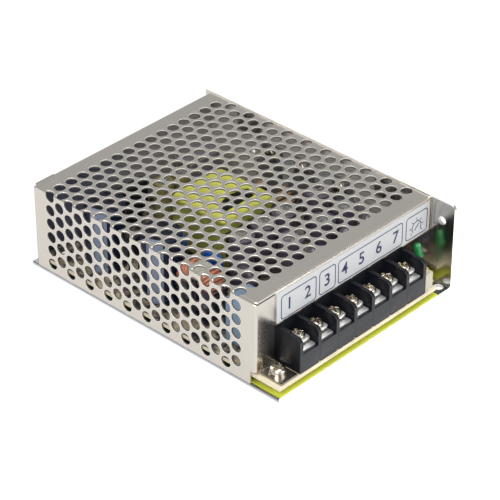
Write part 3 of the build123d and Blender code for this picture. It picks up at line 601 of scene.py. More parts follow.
@dataclass(frozen=True)
class Sleeve(Finish):
    """Shrunk capacitor sleeve with a pale band down one side, a painted highlight."""

    name: str
    colour: Colour
    # The next colour is a painted highlight on the side towards the key light.
    highlight_stripe: Colour
    centre: Pair
    facing: float
    half_width: float = 0.42
    fine_scale: float = 900.0
    drift: float = 0.15
    roughness: Pair = (0.26, 0.38)
    specular: float = 0.3
    depth: float = 0.000015
    least_along: float = 0.0001

    def build(self) -> bpy.types.Material:
        """The painted highlight is where the angle about the can's axis is near facing.

        Returns:
            The material.
        """
        g = Graph(self.name)
        x, y, _ = g.axes(g.place(centre=self.centre))
        along = x * math.cos(self.facing) + y * math.sin(self.facing)
        across = abs(y * math.cos(self.facing) - x * math.sin(self.facing))
        near = across / (along + self.least_along) < math.tan(self.half_width)
        fine = g.noise(g.place(), self.fine_scale)
        plain = g.uneven(fine, self.colour, self.drift)
        return g.finish(
            Base_Color=g.blend((along > 0.0) * near, plain, self.highlight_stripe),
            Roughness=g.stretch(fine, self.roughness),
            Specular_IOR_Level=self.specular,
            Normal=g.bump(fine, self.depth),
        )


@dataclass(frozen=True)
class Laminate(Finish):
    """Laminate of a circuit board: pale front edge and strip, under the cover mottled and dark
    as painted shade.
    """

    name: str = "board_laminate"
    colour: Colour = (0.56, 0.50, 0.36)
    # The next colour is painted shade under the cover.
    inside_shade: Colour = (0.018, 0.017, 0.022)
    joints: Colour = (0.40, 0.33, 0.225)
    # The next colour is painted shade on the board's edges under the cover.
    shaded_side_edge: Colour = (0.44, 0.39, 0.28)
    fibre_scale: float = 1500.0
    spot_scale: float = 120.0
    dot_scale: float = 260.0
    drift: float = 0.2
    roughness: Pair = (0.38, 0.55)
    depth: float = 0.00001
    top: float = 5.59
    inside_from: Pair = (-54.0, -47.0)
    mottling: Pair = (0.44, 0.58)

    def build(self) -> bpy.types.Material:
        """Inner colours, painted shade, fade in along y, the face's where z is above top; noise
        mottles the face.

        Returns:
            The material.
        """
        g = Graph(self.name)
        at = g.place()
        _, y, z = g.axes(at)
        fibres = g.noise(g.place(Grain.WOVEN.value), self.fibre_scale)
        spots = g.noise(at, self.spot_scale, 4.0)
        dots = g.noise(at, self.dot_scale, 2.0)
        along = g.fade(y, self.inside_from)
        pale = g.uneven(g.mixed(fibres, spots, 0.5), self.colour, self.drift)
        mottle = g.span(dots * 0.7 + spots * 0.3, *self.mottling)
        return g.finish(
            # Painted shade fades in from the lit front edge.
            Base_Color=g.blend(
                along * (z > self.top * MM),
                g.blend(along, pale, self.shaded_side_edge),
                g.blend(mottle, self.inside_shade, self.joints),
            ),
            Roughness=g.stretch(spots, self.roughness),
            Normal=g.bump(fibres, self.depth),
        )


@dataclass(frozen=True)
class Film(Finish):
    """Insulating film, yellow-green at the lit front and dark green under the board."""

    name: str = "film_green"
    colour: Colour = (0.50, 0.53, 0.055)
    # The next colour is painted shade under the board.
    inside_shade: Colour = (0.006, 0.018, 0.009)
    fade: Pair = (-54.0, -46.0)
    fine_scale: float = 700.0
    broad_scale: float = 60.0
    drift: float = 0.08
    roughness: Pair = (0.30, 0.40)
    coat: float = 0.2
    depth: float = 0.000006

    def build(self) -> bpy.types.Material:
        """Colour follows y between the two places of fade, with a slight drift.

        Returns:
            The material.
        """
        g = Graph(self.name)
        at = g.place()
        _, y, _ = g.axes(at)
        fine = g.noise(at, self.fine_scale)
        lit = g.uneven(g.noise(at, self.broad_scale, 2.0), self.colour, self.drift)
        return g.finish(
            Base_Color=g.blend(g.fade(y, self.fade), lit, self.inside_shade),
            Roughness=g.stretch(fine, self.roughness),
            Coat_Weight=self.coat,
            Normal=g.bump(fine, self.depth),
        )


@dataclass(frozen=True)
class Moulding(Finish):
    """Black moulding of the terminals, with a fine seam between each two poles on its front."""

    name: str = "block_black"
    colour: Colour = (0.003, 0.0035, 0.006)
    # The next colour is painted light on the front faces.
    front_lit: Colour = (0.028, 0.029, 0.033)
    # Painted shade: the seam groove is darkened by this factor.
    seam_shade: float = 0.3
    fine_scale: float = 2600.0
    roughness: Pair = (0.34, 0.44)
    specular: float = 0.24
    depth: float = 0.0001
    pitch: float = POLE_PITCH
    seam: float = FIRST_POLE + POLE_PITCH / 2
    half_width: float = 0.14
    front: float = -63.7

    def build(self) -> bpy.types.Material:
        """Distance from a seam is pitch x |frac((x - seam) / pitch + 1/2) - 1/2|; near it a groove.

        Returns:
            The material.
        """
        g = Graph(self.name)
        at = g.place()
        x, y, _ = g.axes(at)
        share = ((x - self.seam * MM) / (self.pitch * MM) + 0.5).fraction()
        away = abs(share - 0.5) * (self.pitch * MM)
        behind = y > self.front * MM
        height = g.fade(away, (0.0, self.half_width)).most(behind)
        fine = g.noise(at, self.fine_scale)
        # Painted light: the front faces are lighter than the black elsewhere.
        skin = g.blend(behind, self.front_lit, self.colour)
        return g.finish(
            # Painted shade in the seam groove.
            Base_Color=g.blend(height, shade(self.colour, self.seam_shade), skin),
            Roughness=g.stretch(fine, self.roughness),
            Specular_IOR_Level=self.specular,
            Normal=g.bump(height + fine * 0.06, self.depth),
        )


@dataclass(frozen=True)
class Tape(Finish):
    """Wound yellow tape, bright on top and painted darker down the sides as shade, with the
    edges of its laps.
    """

    name: str = "tape_yellow"
    top: Colour = (0.65, 0.66, 0.11)
    # The next colour is painted shade down the sides.
    side: Colour = (0.30, 0.31, 0.055)
    fade: Pair = (29.2, 30.9)
    laps: float = 420.0
    drift_scale: float = 90.0
    worn_range: Pair = (0.35, 0.65)
    worn_share: float = 0.25
    worn_tone: float = 1.2
    lap_bend: float = 0.25
    roughness: Pair = (0.24, 0.36)
    coat: float = 0.3
    depth: float = 0.00003

    def build(self) -> bpy.types.Material:
        """Colour follows z; lap edges are the steps of a saw-tooth of z, bent a little by noise.

        Returns:
            The material.
        """
        g = Graph(self.name)
        at = g.place()
        _, _, z = g.axes(at)
        drift = g.noise(at, self.drift_scale)
        # Bright top, sides in painted shade.
        colour = g.blend(g.fade(z, self.fade), self.side, self.top)
        worn = g.span(drift, *self.worn_range, 0.0, self.worn_share)
        return g.finish(
            Base_Color=g.blend(worn, colour, shade(self.side, self.worn_tone)),
            Roughness=g.stretch(drift, self.roughness),
            Coat_Weight=self.coat,
            Normal=g.bump((z * self.laps + drift * self.lap_bend).fraction(), self.depth),
        )


@dataclass(frozen=True)
class Wire(Finish):
    """Enamelled wire, or a dipped core, painted darker towards the board as shade."""

    name: str
    colour: Colour
    # The next colour is painted shade near the board.
    low: Colour
    fade: Pair = (15.0, 23.0)
    tone_scale: float = 700.0
    drift: float = 0.25
    roughness: Pair = (0.2, 0.32)
    coat: float = 0.4
    depth: float = 0.000004

    def build(self) -> bpy.types.Material:
        """Colour follows z between the two heights of fade, with a fine uneven tone.

        Returns:
            The material.
        """
        g = Graph(self.name)
        at = g.place()
        _, _, z = g.axes(at)
        tone = g.noise(at, self.tone_scale)
        bright = g.uneven(tone, self.colour, self.drift)
        return g.finish(
            # Painted shade towards the board.
            Base_Color=g.blend(g.fade(z, self.fade), self.low, bright),
            Roughness=g.stretch(tone, self.roughness),
            Coat_Weight=self.coat,
            Normal=g.bump(tone, self.depth),
        )


# Meshes


def stand(name: str, data: bpy.types.ID) -> bpy.types.Object:
    """Put an object into the scene, at the origin.

    Args:
        name: The object's name.
        data: Its mesh, curve, light or camera.

    Returns:
        The object.
    """
    made = bpy.data.objects.new(name, data)
    bpy.context.scene.collection.objects.link(made)
    return made


def put(
    name: str, surface: Surface, body: str, finish: Finish, crease: float = 35.0
) -> bpy.types.Object:
    """Make one closed mesh and let it ride on a body.

    Args:
        name: The piece's name.
        surface: Points in mm, one row each, and quads as four indices a row.
        body: The body that carries it.
        finish: Its finish.
        crease: Edges sharper than this many degrees stay sharp.

    Returns:
        The object, at the origin.
    """
    verts, faces = surface
    mesh = bpy.data.meshes.new(name)
    mesh.from_pydata((verts * MM).tolist(), [], faces.tolist())
    shell = bmesh.new()
    shell.from_mesh(mesh)
    bmesh.ops.remove_doubles(shell, verts=shell.verts, dist=WELD)
    bmesh.ops.dissolve_degenerate(shell, edges=shell.edges, dist=WELD)
    bmesh.ops.recalc_face_normals(shell, faces=shell.faces)
    shell.to_mesh(mesh)
    shell.free()
    mesh.shade_smooth()
    mesh.set_sharp_from_angle(angle=math.radians(crease))
    mesh.materials.append(material(finish))
    made = stand(name, mesh)
    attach(made, body)
    log.info("%s: %d faces", name, len(mesh.polygons))
    return made


def lattice(rows: int, cols: int, wrap_rows: bool = False) -> np.ndarray:
    """Quads over a grid of points numbered row by row, each row joined to itself.

    Args:
        rows: Number of rows.
        cols: Number of points in a row.
        wrap_rows: Whether the last row joins the first.

    Returns:
        Four indices a quad.
    """
    i = np.arange(rows if wrap_rows else rows - 1)
    a, b = np.meshgrid(i, np.arange(cols), indexing="ij")
    c, d = (a + 1) % rows, (b + 1) % cols
    corners = [a * cols + b, c * cols + b, c * cols + d, a * cols + d]
    return np.stack(corners, axis=-1).reshape(-1, 4)


def gather(parts: Sequence[Surface]) -> Surface:
    """Several surfaces as one, their quads' numbers moved along."""
    starts = np.cumsum([0] + [len(p) for p, _ in parts[:-1]])
    return np.vstack([p for p, _ in parts]), np.vstack([f + s for (_, f), s in zip(parts, starts)])


def around(sides: int) -> np.ndarray:
    """Angles evenly round a full turn."""
    return np.linspace(0, TURN, sides, endpoint=False)


def spun(radius: np.ndarray, height: np.ndarray | float, angles: np.ndarray) -> np.ndarray:
    """Points (radius cos angle, radius sin angle, height), a row for each radius."""
    across, along = radius * np.cos(angles), radius * np.sin(angles)
    return np.stack([across, along, height + 0 * angles], axis=-1)


def superellipse(angles: np.ndarray, power: float) -> np.ndarray:
    """Radius 1 / (|cos a|^p + |sin a|^p)^(1/p), a square with round corners for a high p."""
    return 1 / (np.abs(np.cos(angles)) ** power + np.abs(np.sin(angles)) ** power) ** (1 / power)


def heading(path: np.ndarray, closed: bool) -> np.ndarray:
    """Unit directions along a path, each from the point before to the point after.

    Args:
        path: Points, one row each.
        closed: Whether the last point joins the first.

    Returns:
        One direction a point.
    """
    ahead = np.roll(path, -1, axis=0) - np.roll(path, 1, axis=0)
    if not closed:
        ahead[0], ahead[-1] = path[1] - path[0], path[-1] - path[-2]
    return ahead / np.linalg.norm(ahead, axis=1, keepdims=True)


def tube(path: np.ndarray, radius: float, sides: int) -> Surface:
    """A round tube along an open path, its ends drawn to a point.

    Each ring is path + radius x (n cos a + b sin a), with n and b square to the path's direction.

    Args:
        path: Points in mm, one row each.
        radius: The tube's radius, mm.
        sides: Points round a ring.

    Returns:
        Its points and quads.
    """
    ahead = heading(path, False)
    spread = np.abs(ahead).mean(axis=0)
    lean = np.eye(3)[int(np.argmin(spread))]
    n = np.cross(ahead, lean)
    n /= np.linalg.norm(n, axis=1, keepdims=True)
    b = np.cross(ahead, n)
    a = around(sides)[None, :, None]
    points = path[:, None] + radius * (n[:, None] * np.cos(a) + b[:, None] * np.sin(a))
    first, last = (np.repeat(end, sides, 0)[None] for end in (path[:1], path[-1:]))
    points = np.concatenate([first, points, last])
    return points.reshape(-1, 3), lattice(len(points), sides)


def rounded(
    left: float, low: float, right: float, high: float, radius: float, steps: int = 6
) -> np.ndarray:
    """The outline of a rounded rectangle, anticlockwise: a quarter circle round each corner.

    Args:
        left: Its least first number.
        low: Its least second number.
        right: Its greatest first number.
        high: Its greatest second number.
        radius: Radius of the corners.
        steps: Points in a corner.

    Returns:
        Rows of two numbers.
    """
    centres = (
        (right - radius, high - radius), (left + radius, high - radius),
        (left + radius, low + radius), (right - radius, low + radius),
    )
    rows = []
    for quarter, (x, y) in enumerate(centres):
        a = np.linspace(quarter * TURN / 4, (quarter + 1) * TURN / 4, steps)
        rows.append(np.stack([x + radius * np.cos(a), y + radius * np.sin(a)], axis=1))
    return np.vstack(rows)


def smooth_step(value: np.ndarray) -> np.ndarray:
    """3v^2 - 2v^3 with v held between 0 and 1."""
    v = np.clip(value, 0.0, 1.0)
    return v * v * (3 - 2 * v)


def dress(node: str, finish: Finish, nodes: Nodes) -> None:
    """Give a carried-over solid its finish.

    Args:
        node: The solid's name.
        finish: The finish.
        nodes: All the solids.
    """
    mesh = nodes[node].data
    mesh.materials.clear()
    mesh.materials.append(material(finish))
    log.info("%s: %s", node, finish.name)


def softened(
    node: str, nodes: Nodes, body: str, finish: Finish, width: float, segments: int = 2
) -> None:
    """Put a merged copy of a solid, with its edges rounded, in its stead.

    Args:
        node: The solid's name.
        nodes: All the solids.
        body: The body that carries it.
        finish: Its finish.
        width: Width of the rounding, mm.
        segments: Faces across the rounding.
    """
    mesh = nodes[node].data.copy()
    mesh.name = f"{node}_soft"
    shell = bmesh.new()
    shell.from_mesh(mesh)
    bmesh.ops.remove_doubles(shell, verts=shell.verts, dist=WELD / 2)
    bmesh.ops.dissolve_limit(
        shell, verts=shell.verts, edges=shell.edges, angle_limit=math.radians(FLAT_WITHIN)
    )
    shell.to_mesh(mesh)
    shell.free()
    mesh.materials.clear()
    mesh.materials.append(material(finish))
    made = stand(f"{node}_soft", mesh)
    bevel = made.modifiers.new("edges", "BEVEL")
    bevel.width = width * MM
    bevel.segments = segments
    bevel.limit_method = "ANGLE"
    bevel.angle_limit = math.radians(ROUNDED_OVER)
    bevel.harden_normals = False
    bevel.use_clamp_overlap = True
    mesh.shade_smooth()
    mesh.set_sharp_from_angle(angle=math.radians(SHARP_OVER))
    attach(made, body)
    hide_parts(node)
    log.info("%s stands for %s", made.name, node)


# Finishes of this object

TERMINAL_STEEL = Metal("terminal_plating", (0.50, 0.45, 0.37), (0.16, 0.28), stain=0.30)
SCREW_STEEL = Metal("screw_plating", (0.52, 0.48, 0.42), (0.19, 0.29), stain=0.12, depth=0.000004)
CLAMP_STEEL = Metal("clamp_plating", (0.90, 0.89, 0.88), (0.39, 0.51), stain=0.10)
CONTACT_TIN = Metal(
    "contact_tin", (0.86, 0.85, 0.84), (0.39, 0.51), Grain.ALONG_X, scale=1800.0, stain=0.08
)
ALUMINIUM = Metal(
    "can_aluminium", (0.58, 0.57, 0.58), (0.15, 0.25), scale=1800.0, depth=0.000005
)
DULL_ALUMINIUM = Metal(
    "dull_aluminium", (0.055, 0.06, 0.08), (0.29, 0.39), scale=1800.0, stain=0.10, depth=0.000005
)
CHIP_BLACK = Plastic("chip_black", (0.012, 0.012, 0.014), 0.5, 2200.0, 0.2, 0.00002, specular=0.35)
DEVICE_BLACK = Plastic("device_black", (0.13, 0.125, 0.125), 0.42, 2200.0, 0.3, 0.00002)
BASE_BLACK = Plastic("base_black", (0.012, 0.014, 0.026), drift=0.1)
WHITE_MOULDING = Plastic("white_moulding", (0.62, 0.61, 0.57), 0.45, drift=0.05)
CREAM_MOULDING = Plastic("cream_moulding", (0.50, 0.40, 0.22), 0.40, drift=0.12)
TRIMMER_SHELL = Plastic("trimmer_shell", (0.40, 0.38, 0.31))
LAMP_GREEN = Plastic(
    "lamp_green", (0.03, 0.36, 0.10), 0.12, 900.0, 0.1, 0.000002, coat=0.4, through=0.55
)
LABEL_SILVER = Plastic("label_silver", (0.405, 0.41, 0.415), 0.36, 2600.0, 0.03, 0.000003)
PRINT_BLUE = Plastic("print_blue", (0.014, 0.018, 0.075), 0.5, 1800.0, 0.1)
FERRITE = Plastic("ferrite", (0.018, 0.018, 0.020), 0.5, 1300.0, 0.25, 0.00003)
BOBBIN = Plastic("bobbin", (0.002, 0.005, 0.004), 0.30, drift=0.15, specular=0.12)
BOX_BLUE = Plastic("box_blue", (0.22, 0.31, 0.42), 0.4, 1300.0)
BOX_BEIGE = Plastic("box_beige", (0.15, 0.14, 0.15), 0.45, 1300.0)
DISC_BLUE = Plastic("disc_blue", (0.015, 0.10, 0.42), 0.3, 500.0, 0.15, 0.00004, coat=0.2)
DISC_SLATE = Plastic("disc_slate", (0.065, 0.055, 0.075), 0.35, 500.0, 0.15, 0.00004, coat=0.2)
RESISTOR_TAN = Plastic("resistor_tan", (0.30, 0.20, 0.11), 0.4, 900.0, 0.1)
PAD_GREY = Plastic("pad_grey", (0.38, 0.37, 0.36), 0.6, 1200.0, 0.06)
SLEEVE_BROWN = Plastic(
    "sleeve_brown", (0.095, 0.078, 0.11), 0.22, 900.0, 0.2, 0.00002, coat=0.6
)
SLEEVE_OLIVE = Plastic("sleeve_olive", (0.24, 0.21, 0.075), 0.28, 900.0, 0.12, coat=0.3)
# The low colours of these wires are painted shade near the board.
CORE_CREAM = Wire("core_cream", (0.48, 0.45, 0.38), (0.02, 0.02, 0.03), (19.0, 24.0))
ENAMEL_ORANGE = Wire("enamel_orange", (0.58, 0.20, 0.11), (0.016, 0.017, 0.03), (19.0, 24.0))
ENAMEL_BROWN = Wire("enamel_brown", (0.30, 0.17, 0.07), (0.03, 0.02, 0.015))


# Sub-assemblies


@dataclass(frozen=True)
class ScrewSize:
    """Sizes of a screw with a cross recess."""

    head_radius: float
    head_height: float
    shank_radius: float
    shank_length: float
    recess_half: float
    recess_reach: float
    recess_depth: float
    rim_share: float = 0.52
    head_edge: float = 0.12
    undercut: float = 0.02
    tip_share: float = 0.8
    tip_height: float = 0.4
    flank_softness: float = 0.25
    end_softness: float = 0.35
    ring_power: float = 1.15


TERMINAL_SCREW = ScrewSize(2.9, 2.2, 1.75, 8.0, 0.4, 2.2, 1.0)
FOOT_SCREW = ScrewSize(3.0, 2.3, 1.5, 5.4, 0.45, 2.1, 1.1)


@dataclass
class Screw:
    """An upright cross-recess screw with its head on a seat."""

    name: str
    size: ScrewSize
    centre: Pair
    seat: float
    turn: float
    body: str
    sides: int = 64
    rings: int = 20

    def crown(self, rim: float) -> np.ndarray:
        """The head's top, a dome less a cross.

        Height is rim + (head height - rim) x sqrt(1 - (r / R)^2) - depth x the greater of two
        bars, each a smooth step across its flank times one at its end.

        Args:
            rim: Height at which the dome starts.

        Returns:
            Points by ring and angle, the last ring at the centre.
        """
        size, a = self.size, around(self.sides)
        shares = np.linspace(0, 1, self.rings + 1)[1:]
        r = size.head_radius * (1 - shares ** size.ring_power)[:, None]
        dome = rim + (size.head_height - rim) * np.sqrt(1 - (r / size.head_radius) ** 2)
        x, y = r * np.cos(a), r * np.sin(a)
        c, s = np.cos(self.turn), np.sin(self.turn)
        u, v = np.abs(x * c + y * s), np.abs(y * c - x * s)
        bars = [
            smooth_step((size.recess_half - p) / size.flank_softness + 0.5)
            * smooth_step((size.recess_reach - q) / size.end_softness)
            for p, q in ((u, v), (v, u))
        ]
        return spun(r, dome - size.recess_depth * np.maximum(*bars), a)

    def build(self, node: str, finish: Finish, slot: str) -> None:
        """Turn the shank and the rim about the axis, and close them with the crown.

        Args:
            node: The solid it stands for.
            finish: Its finish.
            slot: The record's material slot; not used.
        """
        size = self.size
        rim = size.head_height * size.rim_share
        flank = np.array([
            [0.0, -size.shank_length],
            [size.shank_radius * size.tip_share, -size.shank_length],
            [size.shank_radius, size.tip_height - size.shank_length],
            [size.shank_radius, -size.undercut],
            [size.head_radius - size.head_edge, 0.0],
            [size.head_radius, size.head_edge],
            [size.head_radius, rim],
        ])
        below = spun(flank[:, :1], flank[:, 1:], around(self.sides))
        points = np.concatenate([below, self.crown(rim)]) + np.array([*self.centre, self.seat])
        quads = lattice(len(points), self.sides)
        made = put(self.name, (points.reshape(-1, 3), quads), self.body, finish)
        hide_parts(node)


@dataclass
class TerminalRow:
    """The moulded block with a contact, clamp and screw in each pole."""

    poles: int = 7
    pitch: float = POLE_PITCH
    first: float = FIRST_POLE
    depth_line: float = -57.1
    clamp_under: float = 15.2
    clamp_size: float = 7.0
    clamp_sheet: float = 1.0
    clamp_soft: float = 0.16
    clamp_power: float = 7.0
    clamp_sides: int = 72
    bore: float = 1.81
    block_edge: float = 0.22
    contact_edge: float = 0.15
    seed: int = 7

    def clamp(self, number: int, x: float) -> None:
        """A square washer: its section is carried round from the bore to a superellipse.

        The section is a rectangle with a bevelled corner, clamp_soft wide, at each end.

        Args:
            number: The pole's number.
            x: Its place.
        """
        a = around(self.clamp_sides)
        inner = self.bore + 0 * a
        outer = self.clamp_size / 2 * superellipse(a, self.clamp_power)
        soft, high = self.clamp_soft, self.clamp_sheet
        section = (
            (inner, soft), (inner, high - soft), (inner + soft, high), (outer - soft, high),
            (outer, high - soft), (outer, soft), (outer - soft, 0.0), (inner + soft, 0.0),
        )
        points = np.stack([spun(r, h, a) for r, h in section])
        points = points + np.array([x, self.depth_line, self.clamp_under])
        quads = lattice(len(section), self.clamp_sides, wrap_rows=True)
        surface = points.reshape(-1, 3), quads
        made = put(f"clamp_washer_{number}", surface, f"clamp_{number}", CLAMP_STEEL)
        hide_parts(f"terminal_clamp_{number}")

    def build(self, nodes: Nodes) -> None:
        """Dress the block and contacts, and make the clamps and screws.

        Args:
            nodes: All the solids.
        """
        softened("terminal_block", nodes, CASE, Moulding(), self.block_edge)
        softened("terminal_contacts", nodes, CASE, CONTACT_TIN, self.contact_edge)
        turns = np.random.default_rng(self.seed).uniform(0, TURN / 4, self.poles)
        for number, turn in enumerate(turns, start=1):
            x = self.first + self.pitch * (number - 1)
            self.clamp(number, x)
            seat = self.clamp_under + self.clamp_sheet
            name, body = f"terminal_screw_head_{number}", f"screw_{number}"
            screw = Screw(name, TERMINAL_SCREW, (x, self.depth_line), seat, float(turn), body)
            screw.build(f"terminal_screw_{number}", TERMINAL_STEEL, "terminal_steel")


@dataclass
class Label:
    """Printed plate on the flange: framed boxes, pole numbers and an adjusting mark."""

    face: float = -53.2
    ink: float = 0.03
    edge: float = 0.06
    line: float = 0.42
    pointer_line: float = 0.5
    bold: float = 0.10
    digit_size: float = 7.176
    digit_height: float = 28.7
    corner: float = 1.3
    boxes: tuple[tuple[float, float, float, float], ...] = (
        (-35.6, 23.6, -17.1, 33.6),
        (-15.2, 23.8, -6.6, 33.8),
        (-4.9, 23.8, 31.2, 33.6),
        (33.4, 23.8, 45.6, 33.6),
    )
    digits: tuple[tuple[str, float], ...] = (
        ("1", -31.3), ("2", -21.5), ("3", -11.0), ("4", -1.4), ("5", 8.0), ("6", 17.7), ("7", 27.2),
    )
    mark: Pair = (39.5, 27.6)
    arc_radius: float = 2.6
    arc_ends: Pair = (-35.0, 215.0)
    ticks: int = 7
    tick_reach: tuple[float, ...] = (3.1, 3.6, 4.1)
    pointer: Pair = (-1.1, 1.3)

    def ribbon(self, path: np.ndarray, width: float, closed: bool) -> Surface:
        """A flat printed line in the XZ plane, on the plate's face and as thick as the ink.

        The four corners of its section are path +- width / 2 x the path's flat normal.

        Args:
            path: Rows of x and z.
            width: The line's width.
            closed: Whether its last point joins its first.

        Returns:
            Its points and quads.
        """
        ahead = heading(path, closed)
        side = np.stack([-ahead[:, 1], ahead[:, 0]], axis=1) * width / 2
        inner, outer = self.face, self.face - self.ink
        rows = []
        for sign, y in ((1, inner), (1, outer), (-1, outer), (-1, inner)):
            flat = path + sign * side
            rows.append(np.stack([flat[:, 0], np.full(len(flat), y), flat[:, 1]], axis=1))
        points = np.stack(rows, axis=1)
        if not closed:
            middle = points.mean(axis=1, keepdims=True)
            first, last = (np.repeat(end, len(rows), 1) for end in (middle[:1], middle[-1:]))
            points = np.concatenate([first, points, last])
        return points.reshape(-1, 3), lattice(len(points), len(rows), wrap_rows=closed)

    def lines(self) -> Surface:
        """Frames and the adjusting mark: an arc of most of a turn with ticks and a pointer.

        Returns:
            Their points and quads.
        """
        parts = [self.ribbon(rounded(*box, self.corner), self.line, True) for box in self.boxes]
        centre = np.array(self.mark)
        ends = np.radians(self.arc_ends)
        a = np.linspace(*ends, 40)[:, None]
        arc = centre + self.arc_radius * np.hstack([np.cos(a), np.sin(a)])
        parts.append(self.ribbon(arc, self.line, False))
        for angle in np.linspace(*ends, self.ticks):
            out = np.array([math.cos(angle), math.sin(angle)])
            tick = np.array([centre + out * s for s in self.tick_reach])
            parts.append(self.ribbon(tick, self.line, False))
        pointer = np.array([centre + s for s in (self.pointer[0], 0.0, self.pointer[1])])
        parts.append(self.ribbon(pointer, self.pointer_line, False))
        return gather(parts)

    def figure(self, text: str, x: float) -> bpy.types.Object:
        """One printed figure, its curve made a mesh before it is placed.

        Args:
            text: The figure.
            x: The place of its middle.

        Returns:
            The object.
        """
        curve = bpy.data.curves.new(f"figure_{text}_curve", "FONT")
        curve.body = text
        curve.size = self.digit_size * MM
        curve.align_x = "CENTER"
        curve.align_y = "CENTER"
        curve.extrude = self.ink / 2 * MM
        curve.offset = self.bold * MM
        curve.resolution_u = 4
        holder = stand(f"figure_{text}_holder", curve)
        depsgraph = bpy.context.evaluated_depsgraph_get()
        mesh = bpy.data.meshes.new_from_object(holder.evaluated_get(depsgraph))
        bpy.data.objects.remove(holder)
        place = Vector((x, self.face - self.ink / 2, self.digit_height)) * MM
        mesh.transform(Matrix.Translation(place) @ Matrix.Rotation(math.pi / 2, 4, "X"))
        return stand(f"figure_{text}", mesh)

    def build(self, nodes: Nodes) -> None:
        """Dress the plate and print on it.

        Args:
            nodes: All the solids.
        """
        softened("label_plate", nodes, CASE, LABEL_SILVER, self.edge, 1)
        print_lines = put("label_lines", self.lines(), CASE, PRINT_BLUE)
        for text, x in self.digits:
            made = self.figure(text, x)
            made.data.materials.clear()
            made.data.materials.append(material(PRINT_BLUE))
            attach(made, CASE)
            log.info("figure %s", text)


@dataclass
class RingChoke:
    """Wire wound in two coils round an upright ring."""

    name: str
    centre: Point
    turns: int
    inner: float = 4.6
    outer: float = 9.0
    width: float = 7.0
    wire: float = 0.62
    wire_sides: int = 7
    clearance: float = 0.12
    power: float = 5.0
    steps: int = 28
    sweep: float = 130.0
    facings: Pair = (0.0, 180.0)
    crease: float = 60.0

    def coil(self, facing: float) -> Surface:
        """One coil: while the ring's angle goes over the sweep, the wire goes round the section.

        The section is a superellipse about the middle of the band, the wire's radius and a
        clearance away from it.

        Args:
            facing: The coil's middle, degrees round the ring.

        Returns:
            Its points and quads.
        """
        t = np.linspace(0, 1, self.turns * self.steps)
        round_it = TURN * self.turns * t
        at = np.radians(facing - self.sweep / 2 + self.sweep * t)
        gap = self.wire + self.clearance
        half_depth, half_width = (self.outer - self.inner) / 2 + gap, self.width / 2 + gap
        r = superellipse(round_it, self.power)
        band = (self.outer + self.inner) / 2 + half_depth * r * np.cos(round_it)
        side = half_width * r * np.sin(round_it)
        path = np.stack([side, band * np.cos(at), band * np.sin(at)], axis=1)
        return tube(path + np.array(self.centre), self.wire, self.wire_sides)

    def build(self, winding_node: str, finish: Wire) -> None:
        """Both coils as one piece that stands for the plain sectors.

        Args:
            winding_node: The sectors' solid.
            finish: The wire's finish.
        """
        coils = gather([self.coil(facing) for facing in self.facings])
        made = put(self.name, coils, CASE, finish, self.crease)
        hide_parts(winding_node)


@dataclass
class Can:
    """An upright capacitor: a shrunk sleeve and a bare scored lid."""

    centre: Pair
    radius: float
    height: float
    base: float = 5.6
    sides: int = 56
    foot_inset: float = 0.5
    crimp_depth: float = 0.5
    crimp_at: float = 2.6
    crimp_half: float = 1.1
    rim: float = 0.8
    fold: Pair = (1.5, 1.6)
    sleeve_sink: float = 0.25
    lid_inset: float = 1.62
    lid_rings: int = 14
    lid_sink: float = 0.06
    lid_sheet: float = 0.18
    score_half: float = 0.22
    score_depth: float = 0.16
    score_share: float = 0.92
    score_end: float = 0.4

    def sleeve(self) -> Surface:
        """Wall with a crimp near the foot, turned over the rim onto the lid.

        The crimp is crimp depth x cos^2 over its height, and the rim a quarter circle.

        Returns:
            Its points and quads.
        """
        r, h = self.radius, self.height
        bend = np.radians(np.linspace(0, 90, 7))
        rim = np.stack([r - self.rim + self.rim * np.cos(bend),
                        h - self.rim + self.rim * np.sin(bend)], axis=1)
        t = np.linspace(-1, 1, 9)
        crimp = np.stack([r - self.crimp_depth * np.cos(t * math.pi / 2) ** 2,
                          self.crimp_at + self.crimp_half * t], axis=1)
        foot = [[0, 0], [r - self.foot_inset, 0], [r, self.foot_inset]]
        low = h - self.sleeve_sink
        lip = [[r - self.fold[0], h], [r - self.fold[1], low], [0, low]]
        profile = np.vstack([foot, crimp, rim, lip])
        points = spun(profile[:, :1], profile[:, 1:], around(self.sides))
        points = points + np.array([*self.centre, self.base])
        return points.reshape(-1, 3), lattice(len(profile), self.sides)

    def lid(self) -> Surface:
        """Bare lid: a flat disc with a cross pressed into it as wide smooth grooves.

        Groove depth is a smooth step of the distance from either middle line times one of the
        distance from the rim.

        Returns:
            Its points and quads.
        """
        a, reach = around(self.sides), self.radius - self.lid_inset
        r = reach * np.linspace(1, 0, self.lid_rings)[:, None]
        x, y = r * np.cos(a), r * np.sin(a)
        lines = [smooth_step(1.2 - np.abs(p) / self.score_half) for p in (x, y)]
        ends = smooth_step((reach * self.score_share - np.hypot(x, y)) / self.score_end)
        depth = self.score_depth * np.maximum(*lines) * ends
        top = spun(r, self.height - self.lid_sink - depth, a)
        under = top[:1].copy()
        under[..., 2] = self.height - self.lid_sink - self.lid_sheet
        middle = under * np.array([0.0, 0.0, 1.0])
        points = np.concatenate([middle, under, top]) + np.array([*self.centre, self.base])
        return points.reshape(-1, 3), lattice(len(points), self.sides)


@dataclass
class CanGroup:
    """Capacitors of one size that stand for one solid."""

    name: str
    node: str
    slot: str
    places: tuple[Pair, ...]
    radius: float
    height: float
    sleeve: Plastic | Sleeve
    lid: Metal

    def build(self) -> None:
        """Make the sleeves as one piece and the lids as another."""
        cans = [Can(place, self.radius, self.height) for place in self.places]
        sleeves = gather([can.sleeve() for can in cans])
        made = put(f"{self.name}_sleeves", sleeves, CASE, self.sleeve)
        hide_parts(self.node)
        covers = gather([can.lid() for can in cans])
        tops = put(f"{self.name}_lids", covers, CASE, self.lid)


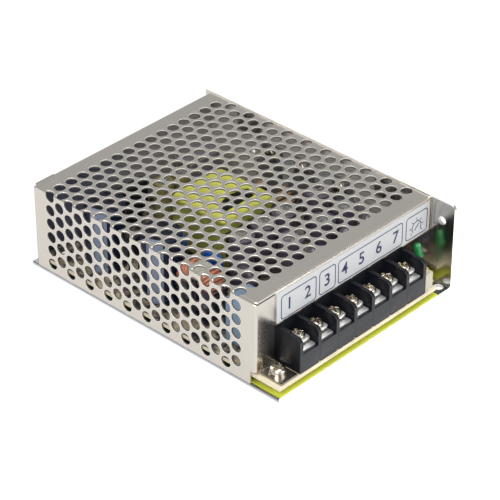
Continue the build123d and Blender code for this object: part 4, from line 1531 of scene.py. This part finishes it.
NAVY = (0.008, 0.012, 0.034)
# Painted highlight on the bulk sleeves, facing the key light.
HIGHLIGHT_STRIPE = (0.20, 0.24, 0.33)
HIGHLIGHT_FACING = math.radians(205)
BULK_PLACES = ((-34.5, 8.0), (-34.5, 38.0))
SUPPLY_PLACES = ((0.9, 42.4), (10.4, 42.4))
OUTPUT_PLACES = (
    *((x, y) for x in (2.4, 19.975, 33.0) for y in (-38.0, -23.55)),
    *((x, -9.1) for x in (-9.1, 2.4, 13.9, 33.0)),
)
CAN_GROUPS = (
    *(
        CanGroup(
            f"bulk_{number}", f"bulk_capacitor_{number}", "sleeve_navy", (place,), 8.0, 28.0,
            Sleeve(f"sleeve_navy_{number}", NAVY, HIGHLIGHT_STRIPE, place, HIGHLIGHT_FACING), DULL_ALUMINIUM,
        )
        for number, place in enumerate(BULK_PLACES, start=1)
    ),
    CanGroup(
        "output", "output_capacitors", "sleeve_brown", OUTPUT_PLACES, 5.0, 22.0, SLEEVE_BROWN,
        ALUMINIUM,
    ),
    CanGroup(
        "supply", "supply_capacitors", "sleeve_navy", SUPPLY_PLACES, 4.2, 19.0, SLEEVE_OLIVE,
        ALUMINIUM,
    ),
)


@dataclass
class Transformer:
    """Taped body round a ferrite core, with the black crown of the bobbin on top."""

    core_edge: float = 0.3
    bobbin_edge: float = 0.25

    def build(self, nodes: Nodes) -> None:
        """Dress the tape and round the core's and the crown's edges.

        Args:
            nodes: All the solids.
        """
        dress("transformer_winding", Tape(), nodes)
        softened("transformer_core", nodes, CASE, FERRITE, self.core_edge)
        softened("transformer_bobbin", nodes, CASE, BOBBIN, self.bobbin_edge)


@dataclass
class Enclosure:
    """Perforated cover, chassis, film and board."""

    chassis_edge: float = 0.12

    def build(self, nodes: Nodes) -> None:
        """Dress the sheet metal, the film and the board.

        Args:
            nodes: All the solids.
        """
        dress("mesh_cover", PunchedSteel(), nodes)
        softened("chassis", nodes, CASE, CutSheet(), self.chassis_edge)
        dress("insulation_film", Film(), nodes)
        dress("circuit_board", Laminate(), nodes)


@dataclass
class Fittings:
    """Screws, lamp, trimmer and the small parts on the board."""

    foot_place: Pair = (-42.5, -58.1)
    foot_seat: float = 7.0
    foot_turn: float = 0.3
    filter_centre: Point = (-33.0, -11.0, 17.2)
    filter_turns: int = 15
    output_centre: Point = (25.475, 8.0, 17.2)
    output_turns: int = 13
    plain: dict[Finish, tuple[str, ...]] = field(default_factory=lambda: {
        SCREW_STEEL: (
            "board_standoffs", "board_screws", "foot_washer", "cover_side_screws", "device_screws",
        ),
        LAMP_GREEN: ("indicator_lamp",),
        TRIMMER_SHELL: ("trimmer_body",),
        CREAM_MOULDING: ("trimmer_rotor",),
        BOX_BLUE: ("line_capacitor",),
        BOX_BEIGE: ("safety_capacitor",),
        CORE_CREAM: ("filter_choke_core",),
        BASE_BLACK: ("filter_choke_base",),
        FERRITE: ("output_choke_core",),
        WHITE_MOULDING: ("output_choke_base", "optocouplers"),
        DISC_BLUE: ("disc_capacitors",),
        DISC_SLATE: ("varistor",),
        CHIP_BLACK: ("thermistor", "fuse", "bridge_rectifier", "controller"),
        RESISTOR_TAN: ("resistors",),
        PAD_GREY: ("device_pad",),
        DEVICE_BLACK: ("power_devices",),
    })

    def build(self, nodes: Nodes) -> None:
        """Dress each small solid, and make the foot's screw and the chokes' turns.

        Args:
            nodes: All the solids.
        """
        for finish, names in self.plain.items():
            for node in names:
                dress(node, finish, nodes)
        foot = Screw(
            "foot_screw_head", FOOT_SCREW, self.foot_place, self.foot_seat, self.foot_turn, CASE
        )
        foot.build("foot_screw", SCREW_STEEL, "screw_steel")
        filter_choke = RingChoke("filter_turns", self.filter_centre, self.filter_turns)
        filter_choke.build("filter_choke_winding", ENAMEL_ORANGE)
        output_choke = RingChoke("output_turns", self.output_centre, self.output_turns)
        output_choke.build("output_choke_winding", ENAMEL_BROWN)


@dataclass
class Studio:
    """Floor, soft lights, sky and the camera."""

    focal_px: float = 2343.63
    frame_px: float = 500.0
    sensor: float = 36.0
    clip: Pair = (0.01, 50.0)
    azimuth: float = -47.0306
    elevation: float = 33.7569
    roll: float = 0.20802
    eye: Point = (-541.625, -509.214, 508.840)
    sky: float = 0.50
    sky_colour: Colour = (0.97, 0.985, 1.0)
    floor_half: float = 6000.0
    floor_level: float = -0.05
    floor_paint: Colour = (0.86, 0.86, 0.86)
    floor_glow: float = 0.86
    lights: tuple[tuple[str, Point, float, float], ...] = (
        ("key", (-900.0, -500.0, 900.0), 700.0, 16.0),
        ("front", (300.0, -1100.0, 500.0), 800.0, 10.0),
        ("over", (200.0, 100.0, 1400.0), 900.0, 9.0),
    )

    def floor(self) -> None:
        """A wide white floor that glows to the camera and in reflections, and keeps a shadow."""
        signs = ((-1, -1), (1, -1), (1, 1), (-1, 1))
        corners = [(x * self.floor_half, y * self.floor_half, self.floor_level) for x, y in signs]
        mesh = bpy.data.meshes.new("floor")
        mesh.from_pydata((np.array(corners) * MM).tolist(), [], [(0, 1, 2, 3)])
        made = stand("floor", mesh)
        g = Graph("floor_white")
        rays = g.node("ShaderNodeLightPath", {}, {}).outputs
        camera, glossy, through = (
            Sock(g, rays[f"Is {kind} Ray"]) for kind in ("Camera", "Glossy", "Transmission")
        )
        glow = g.span(camera + glossy + through, 0.0, 1.0, 0.0, self.floor_glow)
        white = g.add("ShaderNodeEmission", {}, {"Color": (1.0, 1.0, 1.0), "Strength": 1.0})
        paint = g.add("ShaderNodeBsdfDiffuse", {}, {"Color": self.floor_paint})
        mixed = g.add("ShaderNodeMixShader", {}, {0: glow, 1: paint, 2: white})
        g.tree.links.new(mixed.socket, g.output.inputs[0])
        mesh.materials.append(g.material)

    def world(self) -> None:
        """An even sky."""
        world = bpy.data.worlds.new("studio_sky")
        bpy.context.scene.world = world
        world.use_nodes = True
        back = world.node_tree.nodes["Background"]
        back.inputs["Color"].default_value = (*self.sky_colour, 1.0)
        back.inputs["Strength"].default_value = self.sky

    def lamps(self) -> None:
        """Large square area lights that face the case."""
        for name, place, size, power in self.lights:
            data = bpy.data.lights.new(f"{name}_light", "AREA")
            data.size = size * MM
            data.energy = power
            made = stand(f"{name}_light", data)
            made.location = Vector(place) * MM
            made.rotation_euler = (-made.location).to_track_quat("-Z", "Y").to_euler()

    def camera(self) -> None:
        """The camera at the solved place and angle, its rotation from azimuth, elevation, roll."""
        az, el, roll = (math.radians(v) for v in (self.azimuth, self.elevation, self.roll))
        back = Vector((math.sin(az) * math.cos(el), -math.cos(az) * math.cos(el), math.sin(el)))
        right = Vector((math.cos(az), math.sin(az), 0.0))
        up = back.cross(right)
        level_right = right * math.cos(roll) + up * math.sin(roll)
        level_up = up * math.cos(roll) - right * math.sin(roll)
        data = bpy.data.cameras.new("camera")
        data.sensor_width = self.sensor
        data.lens = self.focal_px / self.frame_px * self.sensor
        data.clip_start, data.clip_end = self.clip
        made = stand("camera", data)
        turn = Matrix((level_right, level_up, back)).transposed().to_4x4()
        made.matrix_world = Matrix.Translation(Vector(self.eye) * MM) @ turn
        bpy.context.scene.camera = made

    def build(self) -> None:
        """Set the stage."""
        self.floor()
        self.world()
        self.lamps()
        self.camera()
        bpy.context.scene.view_settings.view_transform = "Standard"


def main() -> None:
    """Build every sub-assembly around the frame."""
    logging.basicConfig(level=logging.INFO, format="%(message)s")
    bpy.ops.object.select_all(action="SELECT")
    bpy.ops.object.delete()
    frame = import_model()
    nodes = frame["nodes"]
    Enclosure().build(nodes)
    TerminalRow().build(nodes)
    Label().build(nodes)
    Transformer().build(nodes)
    for group in CAN_GROUPS:
        group.build()
    Fittings().build(nodes)
    Studio().build()


if __name__ == "__main__":
    main()
